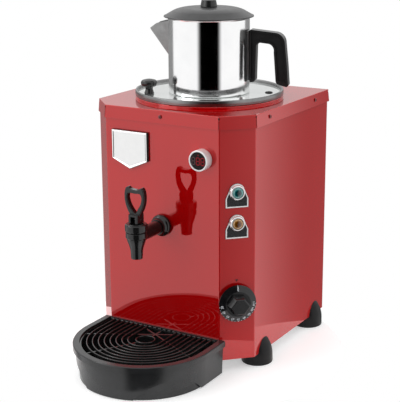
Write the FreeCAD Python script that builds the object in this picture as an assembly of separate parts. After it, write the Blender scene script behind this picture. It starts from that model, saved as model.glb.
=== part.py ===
import FreeCAD, Part
import os
import math
from FreeCAD import Vector as V

# Single-teapot counter tea urn: red lacquered sheet-metal casing with two
# chamfered front corners, inner steel tank under a round collar, flat glass
# lid with a teapot standing on it, lever tap over a half-round drip tray.
# Millimetres, +Z up, +X to the right seen from the front, front towards -Y.

os.makedirs("parts", exist_ok=True)

# ------------------------------------------------------------------ dimensions
# casing
FRONT_FLAT = 178.8        # flat width of the front between the bends
CHAMFER = 35.4            # leg of each 45 degree chamfer
HALF_W = FRONT_FLAT / 2 + CHAMFER
DEPTH = 258.0             # front face to outer face of the back panel
SHEET = 1.2               # lacquered sheet
BEND_R = 2.2              # outside bend radius
CASE_TOP = 333.0          # upper edge of the wrap, under the cover
RETURN = 14.0             # return flange at the rear edges
# cover
COVER_TOP = 339.5
SKIRT_BOTTOM = 322.0
SKIRT_OUT_TOP = 0.6       # skirt stands this far outside the wrap at the top
SKIRT_OUT_LOW = 2.0       # and this far at its flared lower edge
SKIRT_T = 0.8
COLLAR_R = 105.0
COLLAR_TOP = 342.7
OPENING_R = 97.5
MID_Y = 128.5             # axis of tank, collar and glass lid
# tank
TANK_R = 95.0
TANK_T = 1.2
TANK_TOP = 341.3
TANK_LOW = 148.0
# tap
TAP_Z = 181.0             # shank axis height
TAP_Y = -63.0             # vertical tap axis, in front of the panel
SHANK_R = 8.0
LEVER_PIN_Z = 205.3
PLUNGER_LIFT = 4.24
# display, lamps, knob
DISPLAY_X, DISPLAY_Z = 64.7, 280.5
CH_U = 24.4               # position across the chamfer, from its front edge
GREEN_Z, AMBER_Z = 237.4, 194.9
KNOB_Z = 83.0
KNOB_R = 26.0
# badge
BADGE_X0, BADGE_X1 = -77.5, -20.0
BADGE_TOP, BADGE_SHOULDER, BADGE_TIP = 307.4, 267.4, 254.6
# glass lid
RIM_R = 105.2
GLASS_LOW, GLASS_TOP = 343.2, 346.6
RIM_LOW, RIM_TOP = 342.9, 350.4
LID_KNOB = (-61.5, 66.5)
STEAM_HOLE = (81.5, 154.5)
# teapot
POT_X, POT_Y = 3.0, 122.5
POT_BASE = 346.8
POT_TOP = 452.0
POT_R = 57.0
POT_T = 0.9
POT_TURN = 18.0           # handle direction, degrees from +X
# drip tray
TRAY_R = 99.0
TRAY_CY = -47.0
TRAY_TOP = 31.0
TRAY_LOW = -17.4
TRAY_GAP = 0.4            # to the front panel
# feet
FOOT_X = 113.4
FOOT_Y = (65.0, 228.0)
FOOT_R = 22.0
FOOT_LOW = -18.0
GLAND_PROUD = 12.0

S2 = math.sqrt(0.5)
T22 = math.tan(math.radians(22.5))

# origin: middle of the overall box, at the surface the feet rest on
Y_FRONT = TRAY_CY - TRAY_R
Y_BACK = DEPTH + GLAND_PROUD
SHIFT = V(0, -(Y_FRONT + Y_BACK) / 2.0, -FOOT_LOW)

parts = {}


# --------------------------------------------------------------------- helpers
def put(shape, pl):
    s = shape.copy()
    s.Placement = pl.multiply(s.Placement)
    return s


def frame(o, xd, yd, zd):
    m = FreeCAD.Matrix(xd[0], yd[0], zd[0], o[0],
                       xd[1], yd[1], zd[1], o[1],
                       xd[2], yd[2], zd[2], o[2],
                       0, 0, 0, 1)
    return FreeCAD.Placement(m)


def front_frame(x, z, d=0.0):
    """local z out of the front panel, local x to the right, local y up"""
    return frame((x, -d, z), (1, 0, 0), (0, 0, 1), (0, -1, 0))


def chamfer_frame(z, u=CH_U, d=0.0):
    """the same on the right-hand chamfer"""
    o = (FRONT_FLAT / 2 + u * S2 + d * S2, u * S2 - d * S2, z)
    return frame(o, (S2, S2, 0), (0, 0, 1), (S2, -S2, 0))


def pot_frame(z=0.0):
    a = math.radians(POT_TURN)
    c, s = math.cos(a), math.sin(a)
    return frame((POT_X, POT_Y, z), (c, s, 0), (-s, c, 0), (0, 0, 1))


def wire(items, close=True):
    """items: points, or ('a', mid, end) for a three-point arc"""
    edges = []
    first = V(*items[0])
    cur = first
    for it in items[1:]:
        if it[0] == 'a':
            mid, end = V(*it[1]), V(*it[2])
            edges.append(Part.Arc(cur, mid, end).toShape())
            cur = end
        else:
            p = V(*it)
            edges.append(Part.makeLine(cur, p))
            cur = p
    if close and (cur - first).Length > 1e-7:
        edges.append(Part.makeLine(cur, first))
    return Part.Wire(edges)


def prism(pts, z0, z1):
    """pts: 2-D points or arcs, extruded along z"""
    it = []
    for p in pts:
        if p[0] == 'a':
            it.append(('a', (p[1][0], p[1][1], z0), (p[2][0], p[2][1], z0)))
        else:
            it.append((p[0], p[1], z0))
    return Part.Face(wire(it)).extrude(V(0, 0, z1 - z0))


def revolve(pts, centre=(0.0, 0.0)):
    """pts: (radius, z) points or arcs, turned about a vertical axis"""
    cx, cy = centre
    it = []
    for p in pts:
        if p[0] == 'a':
            it.append(('a', (cx + p[1][0], cy, p[1][1]), (cx + p[2][0], cy, p[2][1])))
        else:
            it.append((cx + p[0], cy, p[1]))
    f = Part.Face(wire(it))
    return f.revolve(V(cx, cy, 0), V(0, 0, 1), 360)


def cyl(r, p0, p1):
    d = V(*p1) - V(*p0)
    return Part.makeCylinder(r, d.Length, V(*p0), d)


def box(x0, x1, y0, y1, z0, z1):
    return Part.makeBox(x1 - x0, y1 - y0, z1 - z0, V(x0, y0, z0))


def hexagon(af, z0, z1):
    r = af / math.sqrt(3.0)
    return prism([(r * math.cos(math.radians(60 * i + 30)), r * math.sin(math.radians(60 * i + 30))) for i in range(6)], z0, z1)


def outline(off, yb, h0=FRONT_FLAT / 2, c0=CHAMFER):
    h = h0 + off * T22
    xo = h0 + c0 + off
    yc = c0 - off * T22
    return [(-h, -off), (h, -off), (xo, yc), (xo, yb), (-xo, yb), (-xo, yc)]


def front_verticals(s):
    """vertical edges at the four front bends"""
    out = []
    for e in s.Edges:
        a, b = e.Vertexes[0].Point, e.Vertexes[-1].Point
        if abs(a.x - b.x) < 1e-6 and abs(a.y - b.y) < 1e-6 and a.y < CHAMFER + 5 and abs(a.z - b.z) > 5:
            out.append(e)
    return out


def pipe(wire_, r):
    """round tube of radius r along a wire"""
    e = wire_.OrderedEdges[0] if hasattr(wire_, 'OrderedEdges') else wire_.Edges[0]
    p0 = e.valueAt(e.FirstParameter)
    t0 = e.tangentAt(e.FirstParameter)
    prof = Part.Wire([Part.makeCircle(r, p0, t0)])
    s = wire_.makePipeShell([prof], True, True)
    return Part.makeSolid(s) if s.ShapeType != 'Solid' else s


def route(pts, radii):
    """straight runs joined by tangent arcs"""
    P = [V(*p) for p in pts]
    edges = []
    cur = P[0]
    for i in range(1, len(P) - 1):
        a = (P[i - 1] - P[i]).normalize()
        b = (P[i + 1] - P[i]).normalize()
        half = a.getAngle(b) / 2.0
        r = radii[i - 1]
        t = r / math.tan(half)
        s, e = P[i] + a * t, P[i] + b * t
        bis = (a + b).normalize()
        c = P[i] + bis * (r / math.sin(half))
        m = c - bis * r
        if (s - cur).Length > 1e-6:
            edges.append(Part.makeLine(cur, s))
        edges.append(Part.Arc(s, m, e).toShape())
        cur = e
    edges.append(Part.makeLine(cur, P[-1]))
    return Part.Wire(edges)


def rounded_box(x0, x1, y0, y1, z0, z1, r):
    b = box(x0, x1, y0, y1, z0, z1)
    return b.makeFillet(r, b.Edges)


def compound(shapes):
    return Part.makeCompound(shapes)


def one(shape):
    """a boolean result that is one solid, as that solid"""
    s = shape.removeSplitter()
    if s.ShapeType != 'Solid':
        sol = s.Solids
        if len(sol) != 1:
            raise RuntimeError("expected one solid, got %d" % len(sol))
        s = sol[0]
    return s


def screw(head_r, head_h, shank_r, length):
    """pan-head screw, head above z=0, shank below"""
    head = revolve([(0, 0), (head_r, 0), (head_r, head_h * 0.45), ('a', (head_r * 0.78, head_h * 0.86), (head_r * 0.42, head_h)), (0, head_h)])
    cross = box(-head_r * 0.55, head_r * 0.55, -0.35, 0.35, head_h * 0.45, head_h + 1).fuse(
        box(-0.35, 0.35, -head_r * 0.55, head_r * 0.55, head_h * 0.45, head_h + 1))
    shank = Part.makeCylinder(shank_r, length + 0.2, V(0, 0, -length))
    return one(head.fuse(shank).cut(cross))


# ---------------------------------------------------------------- casing wrap
YB = DEPTH - SHEET        # rear edge of the side walls
outer = prism(outline(0, YB), 0, CASE_TOP)
outer = outer.makeFillet(BEND_R, front_verticals(outer))
inner = prism(outline(-SHEET, YB - SHEET), -1, CASE_TOP + 1)
inner = inner.makeFillet(BEND_R - SHEET, front_verticals(inner))
wrap = outer.cut(inner)
wrap = wrap.cut(box(-(HALF_W - RETURN), HALF_W - RETURN, YB - SHEET - 2, YB + 2, -1, CASE_TOP + 1))
COVER_SCREWS = [("f", 0.0), ("r", 72.0), ("r", 212.0), ("l", 72.0), ("l", 212.0)]
SCREW_Z = 331.0
cuts = [put(Part.makeCylinder(SHANK_R + 0.3, 12, V(0, 0, -6)), front_frame(0, TAP_Z)),
        put(Part.makeCylinder(11.2, 12, V(0, 0, -6)), front_frame(DISPLAY_X, DISPLAY_Z)),
        put(Part.makeCylinder(7.0, 12, V(0, 0, -6)), chamfer_frame(GREEN_Z)),
        put(Part.makeCylinder(7.0, 12, V(0, 0, -6)), chamfer_frame(AMBER_Z)),
        put(Part.makeCylinder(5.2, 12, V(0, 0, -6)), chamfer_frame(KNOB_Z))]
for side, v in COVER_SCREWS:
    if side == "f":
        cuts.append(cyl(1.8, (v, -3, SCREW_Z), (v, 6, SCREW_Z)))
    else:
        sx = 1 if side == "r" else -1
        cuts.append(cyl(1.8, (sx * (HALF_W - 5), v, SCREW_Z), (sx * (HALF_W + 5), v, SCREW_Z)))
HOOK_X = (-55.0, 55.0)
for hx in HOOK_X:
    for hz in (7.6, 16.0):
        cuts.append(cyl(1.7, (hx, -3, hz), (hx, 6, hz)))
BACK_SCREWS = [(sx * (HALF_W - 7.5), z) for sx in (-1, 1) for z in (22.0, 120.0, 218.0, 310.0)]
for x, z in BACK_SCREWS:
    cuts.append(cyl(1.6, (x, YB - 5, z), (x, YB + 5, z)))
for c in cuts:
    wrap = wrap.cut(c)
parts["casing_wrap"] = one(wrap)

# ----------------------------------------------------------------- back panel
back = box(-(HALF_W - 0.6), HALF_W - 0.6, YB + 0.05, DEPTH, 1.5, CASE_TOP)
for col in (-46.0, 46.0):
    for i in range(9):
        z = 196.0 + i * 10.0
        slot = prism([(col - 24, z - 1.6), (col + 24, z - 1.6), ('a', (col + 25.6, z), (col + 24, z + 1.6)),
                      (col - 24, z + 1.6), ('a', (col - 25.6, z), (col - 24, z - 1.6))], 0, 6)
        back = back.cut(put(slot, frame((0, YB + 4, 0), (1, 0, 0), (0, 0, 1), (0, -1, 0))))
GLAND_X, GLAND_Z = -70.0, 42.0
back = back.cut(cyl(8.2, (GLAND_X, YB - 3, GLAND_Z), (GLAND_X, DEPTH + 3, GLAND_Z)))
for x, z in BACK_SCREWS:
    back = back.cut(cyl(1.9, (x, YB - 3, z), (x, DEPTH + 3, z)))
parts["back_panel"] = one(back)
parts["back_screws"] = compound([put(screw(3.4, 2.0, 1.55, 7.0), frame((x, DEPTH + 0.05, z), (1, 0, 0), (0, 0, -1), (0, 1, 0))) for x, z in BACK_SCREWS])

# ----------------------------------------------------------------- base plate
PLATE_Z0, PLATE_Z1 = 2.6, 3.8
bo = prism(outline(-SHEET - 0.25, YB - SHEET - 0.25), PLATE_Z0, 17.0)
bi = prism(outline(-2 * SHEET - 0.25, YB - 2 * SHEET - 0.25), PLATE_Z1, 18.0)
base = bo.cut(bi)
for sx in (-1, 1):
    for fy in FOOT_Y:
        base = base.fuse(cyl(4.2, (sx * FOOT_X * 0.94, fy, PLATE_Z1 - 0.3), (sx * FOOT_X * 0.94, fy, PLATE_Z1 + 3.4)))
        base = base.cut(cyl(2.06, (sx * FOOT_X * 0.94, fy, 0), (sx * FOOT_X * 0.94, fy, 9)))
for i in range(5):
    base = base.cut(box(-40, 40, 92 + i * 16, 96 + i * 16, 0, 6))
for hx in HOOK_X:
    for hz in (7.6, 16.0):
        base = base.cut(cyl(1.7, (hx, -3, hz), (hx, 8, hz)))
base = base.cut(box(-90, 90, -3, 4.5, 13.5, 20))
parts["base_plate"] = one(base)

# ------------------------------------------------------------------ top cover
def loop(off, z, yb):
    pts = [V(x, y, z) for x, y in outline(off, yb)]
    return Part.makePolygon(pts + [pts[0]])


co = Part.makeLoft([loop(SKIRT_OUT_LOW, SKIRT_BOTTOM, DEPTH + SKIRT_OUT_LOW),
                    loop(SKIRT_OUT_TOP, COVER_TOP, DEPTH + SKIRT_OUT_TOP)], True, True)
zi = COVER_TOP - SHEET
ki = (SKIRT_OUT_LOW - SKIRT_OUT_TOP) / (COVER_TOP - SKIRT_BOTTOM)
lo_, to_ = SKIRT_OUT_LOW - SKIRT_T + ki * 1.0, SKIRT_OUT_LOW - SKIRT_T - ki * (zi - SKIRT_BOTTOM)
ci = Part.makeLoft([loop(lo_, SKIRT_BOTTOM - 1.0, DEPTH + lo_), loop(to_, zi, DEPTH + to_)], True, True)
cover = co.cut(ci)
# the four long top edges are softly bent
top_edges = []
for e in cover.Edges:
    a, b = e.Vertexes[0].Point, e.Vertexes[-1].Point
    if abs(a.z - COVER_TOP) < 1e-6 and abs(b.z - COVER_TOP) < 1e-6:
        top_edges.append(e)
cover = cover.makeFillet(0.7, top_edges)
cover = cover.cut(Part.makeCylinder(104.4, 20, V(0, MID_Y, zi - 5)))
collar = revolve([(103.8, zi), (COLLAR_R, zi), (COLLAR_R, COLLAR_TOP - 1.2),
                  ('a', (COLLAR_R - 0.35, COLLAR_TOP - 0.35), (COLLAR_R - 1.2, COLLAR_TOP)),
                  (OPENING_R, COLLAR_TOP), (OPENING_R, COLLAR_TOP - SHEET), (103.8, COLLAR_TOP - SHEET)], (0, MID_Y))
cover = cover.fuse(collar)
# open seams between the folded flaps
hc, xc, yc = FRONT_FLAT / 2, HALF_W, CHAMFER
corners = [((hc, 0), (math.sin(math.radians(22.5)), -math.cos(math.radians(22.5)))),
           ((xc, yc), (math.cos(math.radians(22.5)), -math.sin(math.radians(22.5)))),
           ((xc, DEPTH), (S2, S2))]
for (px, py), (nx, ny) in corners:
    for sx in (-1, 1):
        slit = Part.makeBox(9, 0.9, 30, V(-3.2, -0.45, SKIRT_BOTTOM - 14))
        dome = Part.makeCylinder(1.1, 9, V(-3.2, 0, COVER_TOP - 3.0), V(1, 0, 0))
        ang = math.degrees(math.atan2(ny, nx * sx))
        pl = FreeCAD.Placement(V(px * sx, py, 0), FreeCAD.Rotation(V(0, 0, 1), ang))
        cover = cover.cut(put(slit, pl)).cut(put(dome, pl))
for side, v in COVER_SCREWS:
    if side == "f":
        cover = cover.cut(cyl(1.9, (v, -6, SCREW_Z), (v, 3, SCREW_Z)))
    else:
        sx = 1 if side == "r" else -1
        cover = cover.cut(cyl(1.9, (sx * (HALF_W - 3), v, SCREW_Z), (sx * (HALF_W + 6), v, SCREW_Z)))
parts["top_cover"] = one(cover)
flare = SKIRT_OUT_LOW - ki * (SCREW_Z - SKIRT_BOTTOM)
scr = []
sc0 = screw(2.6, 1.5, 1.6, 7.0)
for side, v in COVER_SCREWS:
    o = flare + 0.32
    if side == "f":
        scr.append(put(sc0, frame((v, -o, SCREW_Z), (1, 0, 0), (0, 0, 1), (0, -1, 0))))
    elif side == "r":
        scr.append(put(sc0, frame((HALF_W + o, v, SCREW_Z), (0, 1, 0), (0, 0, 1), (1, 0, 0))))
    else:
        scr.append(put(sc0, frame((-HALF_W - o, v, SCREW_Z), (0, -1, 0), (0, 0, 1), (-1, 0, 0))))
parts["cover_screws"] = compound(scr)

# ----------------------------------------------------------------------- tank
ti = TANK_R - TANK_T
tank = revolve([(0, TANK_LOW), (TANK_R - 12, TANK_LOW), ('a', (TANK_R - 12 + 12 * S2, TANK_LOW + 12 - 12 * S2), (TANK_R, TANK_LOW + 12)),
                (TANK_R, TANK_TOP - 1.0), (102.3, TANK_TOP - 1.0), (102.3, TANK_TOP), (ti, TANK_TOP), (ti, TANK_LOW + 12),
                ('a', (TANK_R - 12 + 10.8 * S2, TANK_LOW + 12 - 10.8 * S2), (TANK_R - 12, TANK_LOW + TANK_T)), (0, TANK_LOW + TANK_T)], (0, MID_Y))
BOSS_Y0, BOSS_Y1 = 30.5, 38.5
tank = tank.fuse(cyl(15.0, (0, BOSS_Y0, TAP_Z), (0, BOSS_Y1, TAP_Z)))
tank = tank.cut(cyl(SHANK_R + 0.3, (0, 20, TAP_Z), (0, 60, TAP_Z)))
LEG_X, LEG_Y = 15.0, 72.0
for sx in (-1, 1):
    tank = tank.cut(cyl(4.3, (sx * LEG_X, LEG_Y, 140), (sx * LEG_X, LEG_Y, 160)))
PROBE = (30.0, 110.0)
tank = tank.cut(cyl(3.3, (PROBE[0], PROBE[1], 140), (PROBE[0], PROBE[1], 160)))
parts["tank"] = one(tank)

ins = revolve([(95.6, 166), (103.0, 166), (103.0, 332), (95.6, 332)], (0, MID_Y))
ins = ins.cut(cyl(17.0, (0, 15, TAP_Z), (0, 60, TAP_Z)))
parts["tank_insulation"] = one(ins)

# immersion element: ring over the tank floor, both ends down through it
RING_R, RING_Z = 55.0, 172.0
a0 = math.asin(LEG_X / RING_R)
ring_y = MID_Y - RING_R * math.cos(a0)
bend = 9.0


def ring_pt(a):   # a measured from the front (-Y) towards +X
    return V(RING_R * math.sin(a), MID_Y - RING_R * math.cos(a), RING_Z)


def end_parts(sgn):
    a = sgn * a0
    p = ring_pt(a)
    t = V(-sgn * math.cos(a), -sgn * math.sin(a), 0)   # tangent, towards the gap
    t.normalize()
    c = p + V(0, 0, -bend)
    m = c + (t * S2 + V(0, 0, S2)) * bend
    e = c + t * bend
    return p, m, e


pr, mr, er = end_parts(1.0)
pl_, ml, el = end_parts(-1.0)
LEG_R, LEG_L = (er.x, er.y), (el.x, el.y)
edges = [Part.makeLine(V(er.x, er.y, 128.0), er), Part.Arc(er, mr, pr).toShape(),
         Part.Arc(pr, ring_pt(math.pi), pl_).toShape(), Part.Arc(pl_, ml, el).toShape(),
         Part.makeLine(el, V(el.x, el.y, 128.0))]
parts["heating_element"] = pipe(Part.Wire(edges), 3.8)
# matching holes in the tank floor follow the real leg positions
tk = parts["tank"]
for lx, ly in (LEG_R, LEG_L):
    tk = tk.cut(cyl(4.0, (lx, ly, 140), (lx, ly, 160)))
parts["tank"] = one(tk)
FL = (0.0, (LEG_R[1] + LEG_L[1]) / 2)
fl = Part.makeCylinder(21.0, 3.0, V(FL[0], FL[1], 143.2))
gk = Part.makeCylinder(20.0, 1.4, V(FL[0], FL[1], 146.4))
nuts = []
for lx, ly in (LEG_R, LEG_L):
    h = cyl(3.95, (lx, ly, 130), (lx, ly, 160))
    fl, gk = fl.cut(h), gk.cut(h)
    n = hexagon(12.0, 0, 5.0)
    n.translate(V(lx, ly, 137.8))
    nuts.append(n.cut(cyl(3.9, (lx, ly, 130), (lx, ly, 150))))
parts["element_flange"] = one(fl)
parts["element_gasket"] = one(gk)
parts["element_nuts"] = compound(nuts)

# ---------------------------------------------------------------------- probe
probe = revolve([(0, 190), (2.4, 190), (3.2, 188.5), (3.2, 146.0), (6.0, 146.0), (6.0, 140.0), (2.0, 140.0), (2.0, 132.0), (0, 132.0)], PROBE)
parts["temperature_probe"] = one(probe)
tk = parts["tank"].cut(cyl(3.4, (PROBE[0], PROBE[1], 140), (PROBE[0], PROBE[1], 160)))
parts["tank"] = one(tk)

# --------------------------------------------------------------- temperature display
bez = revolve([(12.1, 12.6), (13.3, 12.6), ('a', (13.95, 12.3), (14.2, 11.6)), (14.2, 0.02), (10.9, 0.02), (10.9, -26), (9.4, -26), (9.4, 9.6), (12.1, 9.6)])
parts["display_bezel"] = one(put(bez, front_frame(DISPLAY_X, DISPLAY_Z)))
lens = revolve([(0, 9.7), (12.0, 9.7), (12.0, 11.5), ('a', (6.2, 11.95), (0.8, 12.1)), (0, 12.1)])
parts["display_lens"] = one(put(lens, front_frame(DISPLAY_X, DISPLAY_Z)))
dn = hexagon(27.0, -6.4, -SHEET - 0.05).cut(Part.makeCylinder(10.95, 20, V(0, 0, -12)))
parts["display_nut"] = one(put(dn, front_frame(DISPLAY_X, DISPLAY_Z)))

# ---------------------------------------------------------------- pilot lamps
def plate_shape(z0, z1, inset=0.0):
    w, r, zl = 15.6 - inset, 11.6 - inset, -21.2 + inset
    a = math.radians(25)
    px, py = r * math.cos(a), r * math.sin(a)
    pts = [(w, zl), (w, -8.9 + inset * 0.4), (px, py - 2.0), ('a', (0, r), (-px, py - 2.0)), (-w, -8.9 + inset * 0.4), (-w, zl)]
    return prism(pts, z0, z1)


plate = plate_shape(0.05, 0.9).cut(Part.makeCylinder(7.2, 4, V(0, 0, -1)))
parts["lamp_plates"] = compound([put(plate, chamfer_frame(GREEN_Z)), put(plate, chamfer_frame(AMBER_Z))])
lb = revolve([(7.7, 6.2), (8.7, 6.2), ('a', (9.5, 5.6), (9.9, 4.2)), ('a', (10.1, 3.4), (10.5, 3.0)), (10.7, 1.6), ('a', (10.6, 1.05), (10.2, 0.95)),
              (6.8, 0.95), (6.8, -16.0), (5.6, -16.0), (5.6, 1.7), (7.7, 1.7)])
parts["lamp_bezels"] = compound([put(lb, chamfer_frame(GREEN_Z)), put(lb, chamfer_frame(AMBER_Z))])
ln = revolve([(0, 1.8), (7.6, 1.8), (7.6, 5.2), ('a', (5.0, 7.4), (0.8, 8.3)), (0, 8.3)])
parts["green_lens"] = one(put(ln, chamfer_frame(GREEN_Z)))
parts["amber_lens"] = one(put(ln, chamfer_frame(AMBER_Z)))
lnut = hexagon(18.0, -5.4, -SHEET - 0.05).cut(Part.makeCylinder(6.85, 20, V(0, 0, -12)))
parts["lamp_nuts"] = compound([put(lnut, chamfer_frame(GREEN_Z)), put(lnut, chamfer_frame(AMBER_Z))])

# ------------------------------------------------------- thermostat and knob
tb = box(-17, 17, -19, 19, -31, -5.0)
tb = tb.makeFillet(1.5, [e for e in tb.Edges if abs(e.tangentAt(e.FirstParameter).z) > 0.9])
neck = Part.makeCylinder(5.0, 9.4, V(0, 0, -5.2))
tb = tb.fuse(neck).cut(Part.makeCylinder(3.05, 60, V(0, 0, -24)))
parts["thermostat_body"] = one(put(tb, chamfer_frame(KNOB_Z)))
tn = hexagon(13.0, 0.1, 3.0).cut(Part.makeCylinder(5.05, 10, V(0, 0, -2)))
parts["thermostat_nut"] = one(put(tn, chamfer_frame(KNOB_Z)))
sh = Part.makeCylinder(3.0, 38.0, V(0, 0, -23.5))
sh = sh.cut(box(1.9, 5, -4, 4, 6.0, 20))
parts["knob_shaft"] = one(put(sh, chamfer_frame(KNOB_Z)))
# knob: conical skirt with a raised six-sided grip
sk = revolve([(0, 3.6), (KNOB_R - 0.4, 3.6), (KNOB_R, 4.4), (KNOB_R, 5.8), ('a', (KNOB_R - 3.8, 7.3), (17.6, 9.2)), (0, 9.2)])


def six(a, h, e, z):
    """long hexagon: half width a, half height h, half length e of its flat sides"""
    p = [V(a, 0, z), V(e, h, z), V(-e, h, z), V(-a, 0, z), V(-e, -h, z), V(e, -h, z)]
    return Part.makePolygon(p + [p[0]])


grip = Part.makeLoft([six(16.8, 13.6, 7.4, 8.6), six(13.6, 10.4, 5.6, 21.6)], True, True)
tip = [e for e in grip.Edges if e.BoundBox.ZMin > 21.5]
grip = grip.makeFillet(1.6, tip + [e for e in grip.Edges if e.BoundBox.ZLength > 10])
kn = sk.fuse(grip)
kn = kn.cut(Part.makeCylinder(9.0, 3.2, V(0, 0, 3.0)))
dcut = Part.makeCylinder(3.05, 14.8, V(0, 0, 0)).cut(box(1.95, 5, -4, 4, 6.0, 20))
kn = kn.cut(dcut)
parts["control_knob"] = one(put(kn, chamfer_frame(KNOB_Z)))

# capillary and sensing bulb of the thermostat, laid under the tank floor
cf = chamfer_frame(KNOB_Z)
p_a = cf.multVec(V(0, 12, -31.05))
p_b = cf.multVec(V(0, 12, -45))
cap = route([tuple(p_a), tuple(p_b), (45.0, 100.0, 110.0), (20.0, 150.0, 143.0), (-2.0, 172.0, 143.0)], [9.0, 12.0, 12.0])
capillary = pipe(cap, 1.1)
bulb = cyl(2.9, (-1.6, 171.6, 143.0), (-40.0, 210.0 - 0.4, 143.0))
parts["capillary_bulb"] = one(capillary.fuse(bulb))

# ---------------------------------------------------------------------- badge
bw = (BADGE_X1 - BADGE_X0) / 2
bxm = (BADGE_X0 + BADGE_X1) / 2


def shield(inset, z0, z1):
    w = bw - inset
    top, sh_, tip_ = BADGE_TOP - inset, BADGE_SHOULDER + inset * 0.25, BADGE_TIP + inset * 1.1
    return prism([(-w, top), (w, top), (w, sh_), (0, tip_), (-w, sh_)], z0, z1)


bd = shield(0, 0.05, 4.6).cut(shield(1.6, 3.4, 6))
parts["badge_base"] = one(put(bd, front_frame(bxm, 0)))
bf = shield(1.75, 3.45, 4.1)
parts["badge_face"] = one(put(bf, front_frame(bxm, 0)))

# ------------------------------------------------------------------------ tap
TB_LOW = 151.2
tapb = revolve([(0, TB_LOW), (7.3, TB_LOW), ('a', (7.62, 151.35), (7.75, 151.8)), (8.15, 159.3), ('a', (8.78, 164.4), (10.1, 169.2)), (11.8, 174.2), ('a', (12.7, 177.0), (13.15, 179.3)),
                ('a', (14.0, 180.1), (14.4, 181.6)), (14.4, 186.6), ('a', (14.2, 187.5), (13.5, 187.9)), (0, 187.9)], (0, TAP_Y))
shank = cyl(9.3, (0, TAP_Y, TAP_Z), (0, -14.2, TAP_Z)).fuse(cyl(SHANK_R, (0, -14.3, TAP_Z), (0, 52.0, TAP_Z)))
tapb = tapb.fuse(shank)
tapb = tapb.cut(revolve([(0, 187.9), (16.2, 187.9), (16.2, 205), (0, 205)], (0, TAP_Y)))
cav = revolve([(0, 168.0), (7.6, 168.0), (8.6, 171.2), (8.6, 192), (0, 192)], (0, TAP_Y))
outlet = revolve([(0, 140), (6.2, 140), (5.6, 160), (4.6, 166.5), (4.6, 170), (0, 170)], (0, TAP_Y))
tapb = tapb.cut(cav).cut(outlet).cut(cyl(5.2, (0, TAP_Y + 2, TAP_Z), (0, 60, TAP_Z)))
parts["tap_body"] = one(tapb)
nutp = [(SHANK_R + 0.12, 1.7), (14.6, 1.7), ('a', (15.0, 2.0), (15.1, 2.6)), (15.1, 4.2), ('a', (14.6, 6.0), (13.2, 7.6)), ('a', (11.3, 10.2), (10.6, 14.0)), (SHANK_R + 0.12, 14.0)]
parts["tap_nut"] = one(put(revolve(nutp), front_frame(0, TAP_Z)))
parts["tap_gasket"] = one(put(revolve([(SHANK_R + 0.15, 0.05), (13.2, 0.05), (13.2, 1.6), (SHANK_R + 0.15, 1.6)]), front_frame(0, TAP_Z)))
seal = lambda y0, y1: cyl(13.4, (0, y0, TAP_Z), (0, y1, TAP_Z)).cut(cyl(SHANK_R + 0.15, (0, y0 - 1, TAP_Z), (0, y1 + 1, TAP_Z)))
parts["tank_seals"] = compound([seal(BOSS_Y0 - 1.7, BOSS_Y0 - 0.1), seal(BOSS_Y1 + 0.1, BOSS_Y1 + 1.7)])
inn = hexagon(25.0, 0, 8.0).cut(Part.makeCylinder(SHANK_R + 0.1, 20, V(0, 0, -5)))
inn2 = hexagon(25.0, 0, 5.0).cut(Part.makeCylinder(SHANK_R + 0.1, 20, V(0, 0, -5)))
parts["tap_lock_nuts"] = compound([put(inn, frame((0, BOSS_Y1 + 1.8, TAP_Z), (1, 0, 0), (0, 0, -1), (0, 1, 0))),
                                   put(inn2, frame((0, SHEET + 0.1, TAP_Z), (1, 0, 0), (0, 0, -1), (0, 1, 0)))])
# bonnet screwed on the body, with a dished top for the lever heel
bon = revolve([(2.58, 188.2), (13.5, 188.2), ('a', (14.6, 189.2), (15.1, 191.4)), (15.1, 196.0), ('a', (14.7, 198.2), (13.4, 199.2)), (12.2, 199.3), (11.9, 199.9), (2.58, 199.9)], (0, TAP_Y))
bon = bon.cut(revolve([(0, 187), (7.0, 187), (7.0, 196.6), (0, 196.6)], (0, TAP_Y)))
parts["tap_bonnet"] = one(bon)
# plunger: silicone plug on a stem with an eye
stem = revolve([(0, 167.2), (3.9, 167.2), (4.4, 168.2), (5.2, 169.0), (5.2, 173.5), (6.4, 175.0), (6.4, 180.4), (2.5, 180.4), (2.5, 201.0), (0, 201.0)], (0, TAP_Y))
eye = cyl(3.0, (-3.2, TAP_Y, LEVER_PIN_Z), (3.2, TAP_Y, LEVER_PIN_Z)).fuse(box(-3.2, 3.2, TAP_Y - 2.0, TAP_Y + 2.0, 200.0, LEVER_PIN_Z))
parts["tap_plunger"] = one(stem.fuse(eye).cut(cyl(1.55, (-6, TAP_Y, LEVER_PIN_Z), (6, TAP_Y, LEVER_PIN_Z))))
parts["tap_pin"] = cyl(1.5, (-7.0, TAP_Y, LEVER_PIN_Z), (7.0, TAP_Y, LEVER_PIN_Z))
# closing spring, a coil between the plunger shoulder and the bonnet
SPR_Z0, SPR_Z1 = 181.2, 195.8
hel = Part.BSplineCurve()
hel.interpolate([V(5.1 * math.cos(math.pi * i / 8), 5.1 * math.sin(math.pi * i / 8), (SPR_Z1 - SPR_Z0) * i / 72) for i in range(73)])
hp = Part.Wire([Part.makeCircle(0.55, V(5.1, 0, 0), hel.tangent(hel.FirstParameter)[0])])
spring = Part.Wire([hel.toShape()]).makePipeShell([hp], True, True)
spring.translate(V(0, TAP_Y, SPR_Z0))
parts["tap_spring"] = spring
# lever: square heel with a window, then a flat heart-shaped loop
LY0, LY1 = -4.1, 4.1      # thickness of the loop about the tap axis plane
heel = box(-7.2, 7.2, TAP_Y - 8.0, TAP_Y + 8.0, 200.3, 212.4)
heel = heel.makeFillet(1.0, [e for e in heel.Edges if abs(e.tangentAt(e.FirstParameter).z) > 0.9 or e.BoundBox.ZMax < 200.4])
heel = heel.cut(box(-3.7, 3.7, TAP_Y - 9, TAP_Y + 9, 190, 209.7))
ZT = 250.2


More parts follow.
